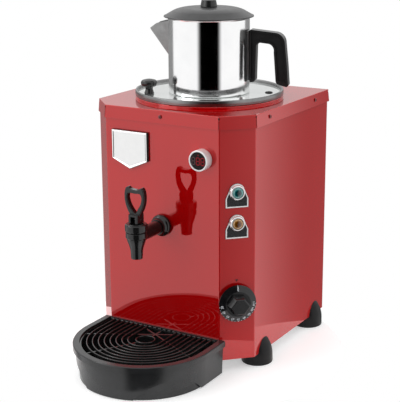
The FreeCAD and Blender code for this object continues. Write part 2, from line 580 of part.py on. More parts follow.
def spline_loop(pts, y0, y1):
    b = Part.BSplineCurve()
    b.interpolate([V(x, y0, z) for x, z in pts], True)
    return Part.Face(Part.Wire([b.toShape()])).extrude(V(0, y1 - y0, 0))


outer_pts = [(-6.6, 209.0), (-9.0, 213.9), (-12.9, 222.0), (-15.1, 230.6), (-15.35, 238.4), (-14.5, 243.8), (-12.9, 247.2), (-10.9, 248.8), (-8.4, 247.7), (-5.0, 246.2), (0, 245.7),
             (5.0, 246.2), (8.4, 247.7), (10.9, 248.8), (12.9, 247.2), (14.5, 243.8), (15.35, 238.4), (15.1, 230.6), (12.9, 222.0), (9.0, 213.9), (6.6, 209.0)]
op = [V(x, TAP_Y + LY0, z) for x, z in outer_pts]
bs = Part.BSplineCurve()
bs.interpolate(op)
loop_o = Part.Face(Part.Wire([bs.toShape(), Part.makeLine(op[-1], op[0])])).extrude(V(0, LY1 - LY0, 0))
inner_pts = [(0, 213.9), (-4.9, 219.4), (-8.8, 225.8), (-10.8, 232.4), (-10.7, 237.4), (-8.7, 240.4), (-4.5, 240.7), (0, 240.4), (4.5, 240.7), (8.7, 240.4), (10.7, 237.4), (10.8, 232.4), (8.8, 225.8), (4.9, 219.4)]
loop_i = spline_loop(inner_pts, TAP_Y + LY0 - 2, TAP_Y + LY1 + 2)
loop = loop_o.cut(loop_i)
loop = loop.makeFillet(1.25, [e for e in loop.Edges if e.BoundBox.YLength < 0.01 and e.BoundBox.ZLength > 1.0])
lever = heel.fuse(loop).cut(cyl(1.52, (-12, TAP_Y, LEVER_PIN_Z), (12, TAP_Y, LEVER_PIN_Z)))
parts["tap_lever"] = one(lever)

# ------------------------------------------------------------------ glass lid
C = (0, MID_Y)
glass = Part.makeCylinder(102.0, GLASS_TOP - GLASS_LOW, V(0, MID_Y, GLASS_LOW))
glass = glass.makeFillet(0.5, [e for e in glass.Edges if e.BoundBox.ZLength < 0.01])
glass = glass.cut(cyl(2.4, (LID_KNOB[0], LID_KNOB[1], 330), (LID_KNOB[0], LID_KNOB[1], 360)))
glass = glass.cut(cyl(4.3, (STEAM_HOLE[0], STEAM_HOLE[1], 330), (STEAM_HOLE[0], STEAM_HOLE[1], 360)))
parts["glass_disc"] = one(glass)
rim = revolve([(102.15, RIM_LOW + 0.3), ('a', (102.3, RIM_LOW), (102.8, RIM_LOW)), (104.2, RIM_LOW), ('a', (104.9, RIM_LOW + 0.3), (105.0, RIM_LOW + 1.0)),
               ('a', (RIM_R, 346.4), (104.9, 349.2)), ('a', (104.5, 350.1), (103.6, RIM_TOP)), ('a', (102.0, 350.2), (101.3, 349.2)), (101.0, GLASS_TOP + 0.1), (102.15, GLASS_TOP + 0.1)], C)
parts["glass_lid_rim"] = one(rim)
lk = revolve([(1.9, GLASS_TOP + 0.1), (6.6, GLASS_TOP + 0.1), (6.9, 347.6), (5.4, 352.0), ('a', (5.3, 354.6), (6.4, 356.8)), ('a', (10.2, 358.2), (11.3, 360.6)),
              ('a', (10.9, 364.4), (7.2, 366.4)), ('a', (3.6, 367.35), (0.8, 367.5)), (0, 367.5), (0, 362.0), (1.9, 362.0)], LID_KNOB)
parts["glass_lid_knob"] = one(lk)
ks = revolve([(0, 339.0), (4.6, 339.0), (4.6, 341.6), (3.8, 342.2), (3.8, 343.0), (1.85, 343.0), (1.85, 361.5), (0, 361.5)], LID_KNOB)
parts["lid_knob_screw"] = one(ks)
gr = revolve([(2.2, 342.6), (5.6, 342.6), (5.6, 343.1), (4.2, 343.1), (4.2, GLASS_TOP + 0.1), (5.4, GLASS_TOP + 0.1), (5.4, 347.2), ('a', (4.8, 347.8), (3.8, 347.9)), ('a', (2.7, 347.7), (2.2, 346.9))], STEAM_HOLE)
parts["steam_grommet"] = one(gr)

# --------------------------------------------------------------------- teapot
PF = pot_frame()
H0, H1 = POT_BASE, POT_TOP
body = revolve([(0, H0 + 1.2), (44, H0 + 1.2), ('a', (48, H0 + 0.5), (50, H0)), (55.2, H0), ('a', (56.5, H0 + 0.5), (POT_R, H0 + 1.8)), (POT_R, H1 - 2.2),
                ('a', (POT_R + 0.5, H1 - 1.2), (POT_R + 1.4, H1 - 0.6)), (POT_R + 1.4, H1), (POT_R - 0.4, H1), ('a', (POT_R - POT_T + 0.1, H1 - 0.8), (POT_R - POT_T, H1 - 2.2)),
                (POT_R - POT_T, H0 + 3.9), ('a', (55.5, H0 + 2.6), (54.2, H0 + 2.1)), (50, H0 + 2.1), (44, H0 + 2.1), (0, H0 + 2.1)])
# pouring holes behind the spout
for row, n in ((0, 3), (1, 2), (2, 3), (3, 2), (4, 1)):
    z = H1 - 17.0 - row * 6.2
    for j in range(n):
        a = math.radians(180.0 + (j - (n - 1) / 2.0) * 7.0)
        body = body.cut(cyl(2.2, (40 * math.cos(a), 40 * math.sin(a), z), (70 * math.cos(a), 70 * math.sin(a), z)))
parts["pot_body"] = one(put(body, PF))

# folded sheet spout: an open-topped beak, widest at the wall
SP_IN = 46.0                           # radius where the cheeks start, inside the wall
SP_TIP = (84.6, 434.8)                 # radius and height of the lip
SP_MID = (72.5, 442.8)                 # bulge of the upper edge
SP_TOP = (SP_IN, 449.0)
SP_KEEL = (SP_IN, 380.0)
SP_HALF = 31.0                         # half width of the open top at SP_IN


def spout_solid(g):
    """g: wall offset inwards; open top raised by the same amount"""
    tip = (SP_TIP[0] - g * 0.9, SP_TIP[1] + g * 1.2)
    mid = (SP_MID[0] - g * 0.6, SP_MID[1] + g * 1.5)
    top = (SP_TOP[0] - g, SP_TOP[1] + g * 1.5)
    keel = (SP_KEEL[0] - g, SP_KEEL[1] + g * 1.5)
    nose = (SP_TIP[0] - 1.0 - g * 0.9, SP_TIP[1] - 2.6 + g * 1.5)
    half = SP_HALF - g * 1.08
    # cheek plane through keel, nose (both on the middle plane) and the top corner
    K, N, A = V(-keel[0], 0, keel[1]), V(-nose[0], 0, nose[1]), V(-top[0], half, top[1])
    n = (N - K).cross(A - K)

    def on(pt, s_):
        y = -((-pt[0] - K.x) * n.x + (pt[1] - K.z) * n.z) / n.y
        return V(-pt[0], s_ * y, pt[1])

    left = [K, N, on(tip, 1), on(mid, 1), A]
    right = [K, N, on(tip, -1), on(mid, -1), V(A.x, -A.y, A.z)]

    def poly(q):
        return Part.Face(Part.makePolygon(list(q) + [q[0]]))
    faces = [poly(left), poly(right[::-1]), poly([N, on(tip, -1), on(tip, 1)]), poly([on(tip, 1), on(tip, -1), on(mid, -1), on(mid, 1)]),
             poly([on(mid, 1), on(mid, -1), right[4], A]), poly([A, right[4], K])]
    sd = Part.makeSolid(Part.makeShell(faces))
    if sd.Volume < 0:
        sd.reverse()
    return sd


so = spout_solid(0.0)
si = spout_solid(0.9)
spout = so.cut(si).cut(Part.makeCylinder(POT_R + 0.05, 200, V(0, 0, 330)))
if spout.ShapeType != 'Solid':
    spout = sorted(spout.Solids, key=lambda q: q.Volume)[-1]
parts["pot_spout"] = put(spout, PF)

# handle: bar on the wall, top arm, outer arm with a free lower end
HB = 8.6                  # half thickness
hout = [(59.2, 434.4), ('a', (59.9, 435.4), (61.4, 435.8)), (95.0, 432.2), ('a', (104.4, 427.6), (108.4, 418.5)), (111.5, 388.0), (113.6, 361.0), ('a', (113.0, 358.6), (110.8, 357.6)),
        (100.2, 360.4), ('a', (97.3, 362.4), (96.0, 366.2)), (93.0, 405.5), ('a', (91.0, 413.6), (85.4, 416.9)), (75.4, 418.0), ('a', (70.4, 416.6), (68.4, 411.6)),
        (67.3, 368.0), ('a', (66.4, 364.6), (63.4, 363.2)), (61.4, 363.0), ('a', (59.8, 363.6), (59.2, 365.2))]
hp_ = []
for p in hout:
    if p[0] == 'a':
        hp_.append(('a', (p[1][0], -HB, p[1][1]), (p[2][0], -HB, p[2][1])))
    else:
        hp_.append((p[0], -HB, p[1]))
handle = Part.Face(wire(hp_)).extrude(V(0, 2 * HB, 0))
try:
    hf = handle.makeFillet(2.2, [e for e in handle.Edges if abs(abs(e.CenterOfMass.y) - HB) < 1e-3])
    if hf.isValid() and hf.Volume > 0.8 * handle.Volume:
        handle = hf
except Exception:
    pass
# recessed web on both flanks
hin = [(61.6, 433.0), (94.4, 429.6), ('a', (102.4, 425.6), (105.8, 417.6)), (108.8, 388.0), (110.4, 363.8), (99.2, 366.6), (96.0, 405.8), ('a', (93.6, 414.6), (86.2, 419.6)),
       (75.4, 420.8), ('a', (68.2, 418.4), (65.2, 411.8)), (64.4, 368.4), (61.6, 368.4)]
for sgn in (-1, 1):
    y0 = sgn * (HB + 1.0)
    q = []
    for p in hin:
        if p[0] == 'a':
            q.append(('a', (p[1][0], y0, p[1][1]), (p[2][0], y0, p[2][1])))
        else:
            q.append((p[0], y0, p[1]))
    handle = handle.cut(Part.Face(wire(q)).extrude(V(0, -sgn * 3.2, 0)))
POT_SCREW_Z = (425.5, 374.0)
for z in POT_SCREW_Z:
    handle = handle.cut(cyl(1.9, (50, 0, z), (65.4, 0, z)))
parts["pot_handle"] = one(put(handle, PF))
strap = revolve([(POT_R + 0.05, 365.6), (POT_R + 1.6, 365.6), (POT_R + 1.6, 434.0), (POT_R + 0.05, 434.0)])
strap = strap.common(box(40, 70, -8.0, 8.0, 360, 450))
strap = strap.fuse(box(57.6, 59.0, -6.0, 6.0, 368, 431).cut(Part.makeCylinder(POT_R + 0.05, 200, V(0, 0, 330))))
for z in POT_SCREW_Z:
    strap = strap.cut(cyl(1.9, (50, 0, z), (67, 0, z)))
body2 = body
parts["pot_handle_bracket"] = one(put(strap, PF))
hs = []
for z in POT_SCREW_Z:
    b2 = cyl(1.8, (POT_R + 0.15, 0, z), (65.0, 0, z))
    hs.append(put(b2, PF))
parts["pot_handle_screws"] = compound(hs)

# plastic lid with a dome, and its knob
lid = revolve([(0, 465.4), ('a', (18, 465.3), (32.0, 464.9)), ('a', (42.5, 463.3), (50.0, 460.6)), ('a', (57.0, 456.6), (61.8, 453.9)), ('a', (62.9, 453.0), (62.3, 452.15)), (58.8, 452.15), (57.6, 452.15),
               (55.4, 452.15), (55.4, 446.6), (53.6, 446.6), (53.6, 453.6), ('a', (49.0, 458.4), (41.4, 461.2)), ('a', (22, 462.9), (0, 463.1))])
lid = lid.cut(Part.makeCylinder(2.3, 30, V(0, 0, 450)))
parts["pot_lid"] = one(put(lid, PF))
pk = revolve([(1.9, 465.6), (11.2, 465.6), (11.7, 466.2), (10.3, 473.8), ('a', (9.9, 474.7), (8.9, 475.0)), (0, 475.3), (0, 472.8), (1.9, 472.8)])
parts["pot_lid_knob"] = one(put(pk, PF))
ps = revolve([(0, 459.4), (4.2, 459.4), (4.2, 461.4), (3.4, 462.2), (3.4, 462.6), (1.85, 462.6), (1.85, 472.4), (0, 472.4)])
parts["pot_lid_screw"] = one(put(ps, PF))

# ------------------------------------------------------------------ drip tray
def stadium(r, y_back, z0, z1, cy=TRAY_CY, cx=0.0):
    return prism([(r, y_back), (-r, y_back), (-r, cy), ('a', (0, cy - r), (r, cy))], z0, z1)


def stadium_wire(r, y_back, z, cy=TRAY_CY):
    return wire([(r, y_back, z), (-r, y_back, z), (-r, cy, z), ('a', (0, cy - r, z), (r, cy, z))])


yb = -TRAY_GAP
lip = stadium(TRAY_R, yb, 22.5, TRAY_TOP)
lip = lip.makeFillet(1.6, [e for e in lip.Edges if e.BoundBox.ZMin > TRAY_TOP - 0.01 and e.BoundBox.YMin < -1])
wall = Part.makeLoft([stadium_wire(94.2, yb, TRAY_LOW), stadium_wire(95.6, yb, 22.6)], True, True)
wall = wall.makeFillet(1.0, [e for e in wall.Edges if e.BoundBox.ZMax < TRAY_LOW + 0.01 and e.BoundBox.YMin < -1 and e.BoundBox.XLength + e.BoundBox.YLength > 20])
# two arched finger recesses, one on each front quarter
keep = revolve([(0, -40), (91.2, -40), (91.2, -8.0), (93.4, 8.0), (93.4, 30.0), (0, 30.0)], (0, TRAY_CY))
for ang in (-36.0, 216.0):
    d_ = V(math.cos(math.radians(ang)), math.sin(math.radians(ang)), 0)
    arch = Part.makeCylinder(61.0, 90, V(0, TRAY_CY, -54.0) + d_ * 50, d_)
    wall = wall.cut(arch.cut(keep))
tray = lip.fuse(wall)
hol = Part.makeLoft([stadium_wire(87.0, yb - 3.2, -14.4), stadium_wire(88.4, yb - 3.2, 22.0)], True, True)
hol2 = stadium(90.0, yb - 2.6, 25.6, 40)
hol3 = stadium(88.0, yb - 3.2, 21.9, 26)
tray = tray.cut(hol).cut(hol2).cut(hol3)
# moulded pockets that slide over the two tongues of the casing
for hx in HOOK_X:
    tray = tray.fuse(box(hx - 12.5, hx + 12.5, -13.5, -3.4, 5.0, 16.5))
    tray = tray.cut(box(hx - 9.6, hx + 9.6, -11.4, 1, 8.4, 12.8))
    tray = tray.cut(box(hx - 10.0, hx + 10.0, -2.0, 1, -0.6, 21.6))
parts["drip_tray"] = one(tray)

# grille: thin U-shaped ribs with rounded crests, carried by flat bars and a low frame
GZ0, GZ1 = 25.8, 30.4
GR = 89.6
RIB_W = 1.8
Y_RIB = yb - 4.3


def rib_face(r, z0):
    h = RIB_W / 2
    return Part.Face(wire([(r - h, TRAY_CY, z0), (r + h, TRAY_CY, z0), (r + h, TRAY_CY, GZ1 - 0.8), ('a', (r, TRAY_CY, GZ1), (r - h, TRAY_CY, GZ1 - 0.8))]))


def u_rib(r):
    """half ring in front of the centre, with a straight leg back from each end"""
    arc_ = rib_face(r, GZ0 + 1.2).revolve(V(0, TRAY_CY, 0), V(0, 0, 1), -180)
    leg = rib_face(r, GZ0 + 1.2).extrude(V(0, Y_RIB - TRAY_CY, 0))
    leg2 = rib_face(-r, GZ0 + 1.2).extrude(V(0, Y_RIB - TRAY_CY, 0))
    return arc_.fuse(leg).fuse(leg2)


gframe = stadium(GR, yb - 3.0, GZ0, GZ0 + 2.6).cut(stadium(GR - 2.2, yb - 5.6, GZ0 - 1, GZ1 + 1))
gr_ = gframe
for k in range(8):
    gr_ = gr_.fuse(u_rib(80.0 - 8.0 * k))
ring = rib_face(12.9, GZ0 + 1.2).revolve(V(0, TRAY_CY, 0), V(0, 0, 1), 360)
gr_ = gr_.fuse(ring)
bars = []
for ox, oy, r0, ang in ((0, 0, 12.9, -120.0), (0, 0, 12.9, -60.0), (0, 0, 12.9, 90.0), (0, 25.0, 0, -28.0), (0, 25.0, 0, -152.0), (0, 25.0, 0, 27.0), (0, 25.0, 0, 153.0)):
    b = box(r0, 150, -1.1, 1.1, GZ0, GZ0 + 2.3)
    b = put(b, FreeCAD.Placement(V(ox, TRAY_CY + oy, 0), FreeCAD.Rotation(V(0, 0, 1), ang)))
    bars.append(b.common(stadium(GR - 1, yb - 4.0, GZ0 - 1, GZ1)))
# short crests along the rear bar, between the legs of the ribs
for k in range(11):
    for sx in (-1, 1):
        x0 = sx * (4.0 + 8.0 * k)
        bars.append(box(x0 - 2.3, x0 + 2.3, yb - 5.1, yb - 3.5, GZ0 + 1.0, GZ1 - 0.9))
        bars.append(cyl(0.8, (x0 - 2.3, yb - 4.3, GZ1 - 0.9), (x0 + 2.3, yb - 4.3, GZ1 - 0.9)))
for b in bars:
    gr_ = gr_.fuse(b)
parts["tray_grille"] = one(gr_)

# hooks riveted to the casing
hooks = []
for hx in HOOK_X:
    h = box(hx - 9, hx + 9, -1.3, -0.05, 2.0, 20.0).fuse(box(hx - 9, hx + 9, -9.4, -0.05, 10.0, 11.3))
    for hz in (7.6, 16.0):
        h = h.cut(cyl(1.65, (hx, -2.0, hz), (hx, 3, hz)))
    hooks.append(one(h))
parts["tray_hooks"] = compound(hooks)
riv = []
for hx in HOOK_X:
    for hz in (7.6, 16.0):
        r_ = revolve([(0, -1.2), (1.6, -1.2), (1.6, 3.1), (3.0, 3.1), ('a', (2.1, 4.1), (0.5, 4.5)), (0, 4.5)])
        riv.append(put(r_, frame((hx, 0.0, hz), (1, 0, 0), (0, 0, -1), (0, 1, 0))))
parts["hook_rivets"] = compound(riv)

# ----------------------------------------------------------------------- feet
feet, fscr = [], []
prof = [(0, FOOT_LOW), (FOOT_R - 1.2, FOOT_LOW), ('a', (FOOT_R - 0.3, FOOT_LOW + 0.35), (FOOT_R, FOOT_LOW + 1.2)), (FOOT_R - 0.1, -6.0),
        ('a', (20.6, 3.0), (17.2, 11.5)), ('a', (14.6, 16.2), (9.5, 21.0)), (0, 21.0)]
for sx in (-1, 1):
    for fy in FOOT_Y:
        f = revolve(prof, (sx * FOOT_X, fy))
        inner_box = box(0, HALF_W + 0.12, fy - 30, fy + 30, -0.12, 40) if sx > 0 else box(-HALF_W - 0.12, 0, fy - 30, fy + 30, -0.12, 40)
        f = f.cut(inner_box)
        sxp = sx * FOOT_X * 0.94
        lug = cyl(9.0, (sxp, fy, -1.0), (sxp, fy, PLATE_Z0 - 0.1))
        f = f.fuse(lug)
        f = f.cut(cyl(2.2, (sxp, fy, -30), (sxp, fy, 10))).cut(cyl(5.4, (sxp, fy, -30), (sxp, fy, -9.0)))
        feet.append(one(f))
        s = put(screw(4.6, 2.6, 2.0, 17.0), frame((sxp, fy, -9.1), (1, 0, 0), (0, -1, 0), (0, 0, -1)))
        fscr.append(s)
parts["feet"] = compound(feet)
parts["foot_screws"] = compound(fscr)
# ------------------------------------------------- supply gland and terminals
gl = revolve([(4.4, -8.0), (7.9, -8.0), (7.9, 0.05), (11.5, 0.05), (11.5, 4.0), (10.2, 5.0), (9.6, 5.0), (9.4, 9.6), ('a', (8.6, 11.4), (7.0, GLAND_PROUD)), (4.4, GLAND_PROUD)])
parts["supply_gland"] = one(put(gl, frame((GLAND_X, DEPTH, GLAND_Z), (1, 0, 0), (0, 0, -1), (0, 1, 0))))
gln = hexagon(22.0, 0, 4.5).cut(Part.makeCylinder(8.0, 20, V(0, 0, -5)))
parts["gland_nut"] = one(put(gln, frame((GLAND_X, YB - 4.8, GLAND_Z), (1, 0, 0), (0, 0, -1), (0, 1, 0))))
tbk = box(-82, -34, 196, 218, PLATE_Z1 + 0.1, 23.0)
tbk = tbk.makeFillet(1.2, [e for e in tbk.Edges if abs(e.tangentAt(e.FirstParameter).z) > 0.9])
for i in range(3):
    x = -72 + i * 14.0
    tbk = tbk.cut(cyl(3.2, (x, 201.5, 12), (x, 201.5, 30))).cut(cyl(3.2, (x, 212.5, 12), (x, 212.5, 30)))
    tbk = tbk.cut(cyl(2.4, (x, 190, 9.0), (x, 225, 9.0)))
parts["terminal_block"] = one(tbk)

# --------------------------------------------------------------------- export
if __name__ == "__main__":
    bb = None
    for name in sorted(parts):
        s = parts[name].copy()
        s.translate(SHIFT)
        parts[name] = s
        ok = s.isValid()
        nsol = len(s.Solids)
        s.exportStep("parts/%s.step" % name)
        b = s.BoundBox
        bb = b if bb is None else bb.united(b) if hasattr(bb, "united") else bb
        print("%-20s solids %d valid %s vol %10.1f  x %.1f..%.1f y %.1f..%.1f z %.1f..%.1f" % (
            name, nsol, ok, s.Volume, b.XMin, b.XMax, b.YMin, b.YMax, b.ZMin, b.ZMax))
    print("shift", SHIFT, "nodes", len(parts))
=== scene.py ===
import math

import bmesh
import bpy
from mathutils import Matrix, Vector


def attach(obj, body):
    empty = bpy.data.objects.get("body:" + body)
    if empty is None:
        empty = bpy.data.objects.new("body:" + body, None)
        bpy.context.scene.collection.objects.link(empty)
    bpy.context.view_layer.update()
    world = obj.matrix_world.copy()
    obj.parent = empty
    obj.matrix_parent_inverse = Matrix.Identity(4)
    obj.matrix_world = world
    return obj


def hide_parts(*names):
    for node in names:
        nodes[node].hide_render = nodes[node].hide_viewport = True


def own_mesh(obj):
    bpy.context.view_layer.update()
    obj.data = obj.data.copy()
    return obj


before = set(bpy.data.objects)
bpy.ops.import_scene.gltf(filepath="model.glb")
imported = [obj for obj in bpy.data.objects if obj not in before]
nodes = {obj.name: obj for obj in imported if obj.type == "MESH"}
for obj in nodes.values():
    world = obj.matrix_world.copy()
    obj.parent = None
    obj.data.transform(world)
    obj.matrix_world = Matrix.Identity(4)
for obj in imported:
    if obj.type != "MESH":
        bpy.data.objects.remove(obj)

scene = bpy.context.scene
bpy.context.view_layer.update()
S2 = math.sqrt(0.5)
MM = 0.001


# ------------------------------------------------------------ node materials
def new_mat(name):
    m = bpy.data.materials.new(name)
    m.use_nodes = True
    nt = m.node_tree
    b = nt.nodes["Principled BSDF"]
    return m, nt, b


def sock(b, **kw):
    names = {"metallic": "Metallic", "rough": "Roughness", "ior": "IOR", "spec": "Specular IOR Level", "coat": "Coat Weight",
             "coat_rough": "Coat Roughness", "coat_ior": "Coat IOR", "trans": "Transmission Weight", "aniso": "Anisotropic",
             "sheen": "Sheen Weight", "emis": "Emission Strength"}
    for k, v in kw.items():
        b.inputs[names[k]].default_value = v


def coords(nt, scale=(1, 1, 1), turn=(0, 0, 0)):
    tc = nt.nodes.new("ShaderNodeTexCoord")
    mp = nt.nodes.new("ShaderNodeMapping")
    mp.inputs["Scale"].default_value = scale
    mp.inputs["Rotation"].default_value = turn
    nt.links.new(tc.outputs["Object"], mp.inputs["Vector"])
    return mp.outputs["Vector"]


def noise(nt, vec, scale, detail=3.0, rough=0.55):
    n = nt.nodes.new("ShaderNodeTexNoise")
    n.inputs["Scale"].default_value = scale
    n.inputs["Detail"].default_value = detail
    n.inputs["Roughness"].default_value = rough
    nt.links.new(vec, n.inputs["Vector"])
    return n.outputs["Fac"]


def ramp(nt, fac, stops):
    r = nt.nodes.new("ShaderNodeValToRGB")
    e = r.color_ramp.elements
    while len(e) < len(stops):
        e.new(0.5)
    for el, (p, c) in zip(e, stops):
        el.position = p
        el.color = (c[0], c[1], c[2], 1)
    nt.links.new(fac, r.inputs["Fac"])
    return r.outputs["Color"]


def span(nt, fac, a, b, lo=0.3, hi=0.7):
    m = nt.nodes.new("ShaderNodeMapRange")
    m.inputs["From Min"].default_value = lo
    m.inputs["From Max"].default_value = hi
    m.inputs["To Min"].default_value = a
    m.inputs["To Max"].default_value = b
    nt.links.new(fac, m.inputs["Value"])
    return m.outputs["Result"]


def bump(nt, b, height, dist, strength=1.0, under=None):
    n = nt.nodes.new("ShaderNodeBump")
    n.inputs["Strength"].default_value = strength
    n.inputs["Distance"].default_value = dist
    nt.links.new(height, n.inputs["Height"])
    if under is not None:
        nt.links.new(under, n.inputs["Normal"])
    nt.links.new(n.outputs["Normal"], b.inputs["Normal"])
    return n.outputs["Normal"]


def plain(name, c_lo, c_hi, r_lo, r_hi, scale=60.0, grain=None, grain_d=8e-6, detail=3.0, **kw):
    """colour and gloss drift slowly over the surface, with a fine grain"""
    m, nt, b = new_mat(name)
    v = coords(nt)
    n = noise(nt, v, scale, detail)
    nt.links.new(ramp(nt, n, [(0.3, c_lo), (0.7, c_hi)]), b.inputs["Base Color"])
    n2 = noise(nt, v, scale * 2.3, detail)
    nt.links.new(span(nt, n2, r_lo, r_hi), b.inputs["Roughness"])
    if grain:
        bump(nt, b, noise(nt, v, grain, 2.0), grain_d)
    sock(b, **kw)
    return m


def lacquer(name, c_lo, c_hi, **kw):
    """candy-like red stove enamel: tinted mirror under a clear coat, faint orange peel"""
    m, nt, b = new_mat(name)
    v = coords(nt)
    nt.links.new(ramp(nt, noise(nt, v, 7.0, 2.0), [(0.3, c_lo), (0.7, c_hi)]), b.inputs["Base Color"])
    nt.links.new(span(nt, noise(nt, v, 30.0, 3.0), 0.05, 0.085), b.inputs["Roughness"])
    n = nt.nodes.new("ShaderNodeBump")
    n.inputs["Strength"].default_value = 1.0
    n.inputs["Distance"].default_value = 1.6e-6
    nt.links.new(noise(nt, v, 420.0, 1.0, 0.4), n.inputs["Height"])
    nt.links.new(n.outputs["Normal"], b.inputs["Normal"])
    nt.links.new(n.outputs["Normal"], b.inputs["Coat Normal"])
    sock(b, **kw)
    return m


def turned(name, c_lo, c_hi, r_lo, r_hi, centre, lines=2600.0, dist=1.2e-6, **kw):
    """steel polished or brushed round a vertical axis: fine rings along z"""
    m, nt, b = new_mat(name)
    tc = nt.nodes.new("ShaderNodeTexCoord")
    mp = nt.nodes.new("ShaderNodeMapping")
    mp.inputs["Location"].default_value = (-centre[0], -centre[1], 0)
    nt.links.new(tc.outputs["Object"], mp.inputs["Vector"])
    sep = nt.nodes.new("ShaderNodeSeparateXYZ")
    nt.links.new(mp.outputs["Vector"], sep.inputs["Vector"])
    ang = nt.nodes.new("ShaderNodeMath"); ang.operation = "ARCTAN2"
    nt.links.new(sep.outputs["Y"], ang.inputs[0])
    nt.links.new(sep.outputs["X"], ang.inputs[1])
    sa = nt.nodes.new("ShaderNodeMath"); sa.operation = "MULTIPLY"; sa.inputs[1].default_value = 0.006
    nt.links.new(ang.outputs[0], sa.inputs[0])
    com = nt.nodes.new("ShaderNodeCombineXYZ")
    nt.links.new(sa.outputs[0], com.inputs["X"])
    nt.links.new(sep.outputs["Z"], com.inputs["Z"])
    rings = noise(nt, com.outputs["Vector"], lines, 3.0, 0.7)
    v = coords(nt)
    slow = noise(nt, v, 34.0, 3.0)
    nt.links.new(ramp(nt, slow, [(0.3, c_lo), (0.7, c_hi)]), b.inputs["Base Color"])
    mx = nt.nodes.new("ShaderNodeMath"); mx.operation = "MULTIPLY_ADD"
    mx.inputs[1].default_value = 0.45
    nt.links.new(rings, mx.inputs[0])
    nt.links.new(slow, mx.inputs[2])
    nt.links.new(span(nt, mx.outputs[0], r_lo, r_hi, 0.45, 1.0), b.inputs["Roughness"])
    bump(nt, b, rings, dist)
    sock(b, **kw)
    return m


RED = lacquer("red_lacquer_coat", (0.51, 0.0008, 0.0016), (0.55, 0.0014, 0.0024), metallic=0.25, spec=0.0, coat=1.0, coat_rough=0.012, coat_ior=1.66)
RED_SCREW = plain("lacquered_screw_head", (0.16, 0.002, 0.003), (0.22, 0.004, 0.005), 0.2, 0.35, 300, coat=0.5)
STEEL_SHEET = plain("galvanised_sheet", (0.42, 0.43, 0.44), (0.6, 0.6, 0.6), 0.3, 0.5, 45, 700, 6e-6, metallic=0.9)
SCREW = plain("zinc_screw", (0.5, 0.5, 0.48), (0.66, 0.65, 0.62), 0.25, 0.42, 300, metallic=1.0)
TANK = turned("drawn_tank_steel", (0.55, 0.55, 0.56), (0.68, 0.68, 0.68), 0.16, 0.32, (0, 0.0665), 1500, metallic=1.0)
WOOL = plain("mineral_wool_felt", (0.6, 0.55, 0.4), (0.74, 0.69, 0.55), 0.85, 0.98, 120, 900, 4e-4)
SHEATH = plain("heater_sheath", (0.4, 0.38, 0.36), (0.52, 0.5, 0.48), 0.25, 0.4, 90, metallic=1.0)
BRASS = plain("nickel_brass_parts", (0.55, 0.5, 0.36), (0.68, 0.62, 0.46), 0.2, 0.34, 200, metallic=1.0)
SILICONE = plain("white_silicone_seal", (0.72, 0.71, 0.68), (0.82, 0.81, 0.78), 0.45, 0.6, 150, 1800, 5e-6)
CHROME = plain("bright_chrome_plate", (0.84, 0.84, 0.85), (0.9, 0.9, 0.9), 0.03, 0.07, 120, metallic=1.0)
SATIN = plain("satin_chrome_plate", (0.84, 0.83, 0.83), (0.9, 0.89, 0.89), 0.3, 0.4, 200, metallic=0.35)
WINDOW = plain("smoked_window", (0.006, 0.004, 0.004), (0.01, 0.006, 0.006), 0.04, 0.08, 200, spec=0.16)
PLATE = plain("black_label_plate", (0.008, 0.008, 0.009), (0.016, 0.016, 0.018), 0.22, 0.34, 260)
BORDER = plain("pale_label_border", (0.94, 0.92, 0.92), (0.98, 0.97, 0.97), 0.3, 0.42, 200, metallic=0.0)
KNOB = plain("knob_moulding", (0.006, 0.006, 0.0065), (0.011, 0.011, 0.012), 0.09, 0.15, 180, 2200, 2e-7, spec=0.5)
COPPER = plain("copper_capillary", (0.5, 0.25, 0.15), (0.66, 0.36, 0.24), 0.2, 0.38, 200, metallic=1.0)
ENAMEL = plain("white_enamel_face", (0.93, 0.93, 0.93), (0.97, 0.97, 0.965), 0.16, 0.24, 120, 900, 1e-6, metallic=0.35)
TAP = plain("tap_moulding", (0.006, 0.006, 0.006), (0.011, 0.011, 0.011), 0.11, 0.18, 130, 1500, 3e-7, spec=0.5)
BLACK_RUBBER = plain("gasket_rubber", (0.012, 0.012, 0.012), (0.022, 0.022, 0.022), 0.5, 0.68, 150, 1600, 8e-6)
SPRING = plain("spring_wire", (0.5, 0.5, 0.5), (0.62, 0.62, 0.62), 0.2, 0.3, 200, metallic=1.0)
RIM = turned("rolled_rim_steel", (0.2, 0.2, 0.2), (0.27, 0.27, 0.27), 0.24, 0.34, (0, 0.0665), 2200, metallic=1.0)
BAKELITE = plain("handle_bakelite", (0.013, 0.013, 0.0135), (0.019, 0.019, 0.019), 0.22, 0.27, 26, 1200, 2e-7, spec=0.5)
POT = turned("mirror_pot_steel", (0.85, 0.85, 0.855), (0.9, 0.9, 0.9), 0.05, 0.10, (0.003, 0.0605), 2400, 0.8e-6, metallic=1.0)


def softer_at_grazing(m, extra, lo=0.22, hi=0.75):
    """fine brushing scatters more light where the wall turns away"""
    nt = m.node_tree
    b = nt.nodes["Principled BSDF"]
    old = b.inputs["Roughness"].links[0].from_socket
    lw = nt.nodes.new("ShaderNodeLayerWeight")
    lw.inputs["Blend"].default_value = 0.5
    ad = nt.nodes.new("ShaderNodeMath"); ad.operation = "ADD"
    nt.links.new(old, ad.inputs[0])
    nt.links.new(span(nt, lw.outputs["Facing"], 0.0, extra, lo, hi), ad.inputs[1])
    nt.links.new(ad.outputs[0], b.inputs["Roughness"])


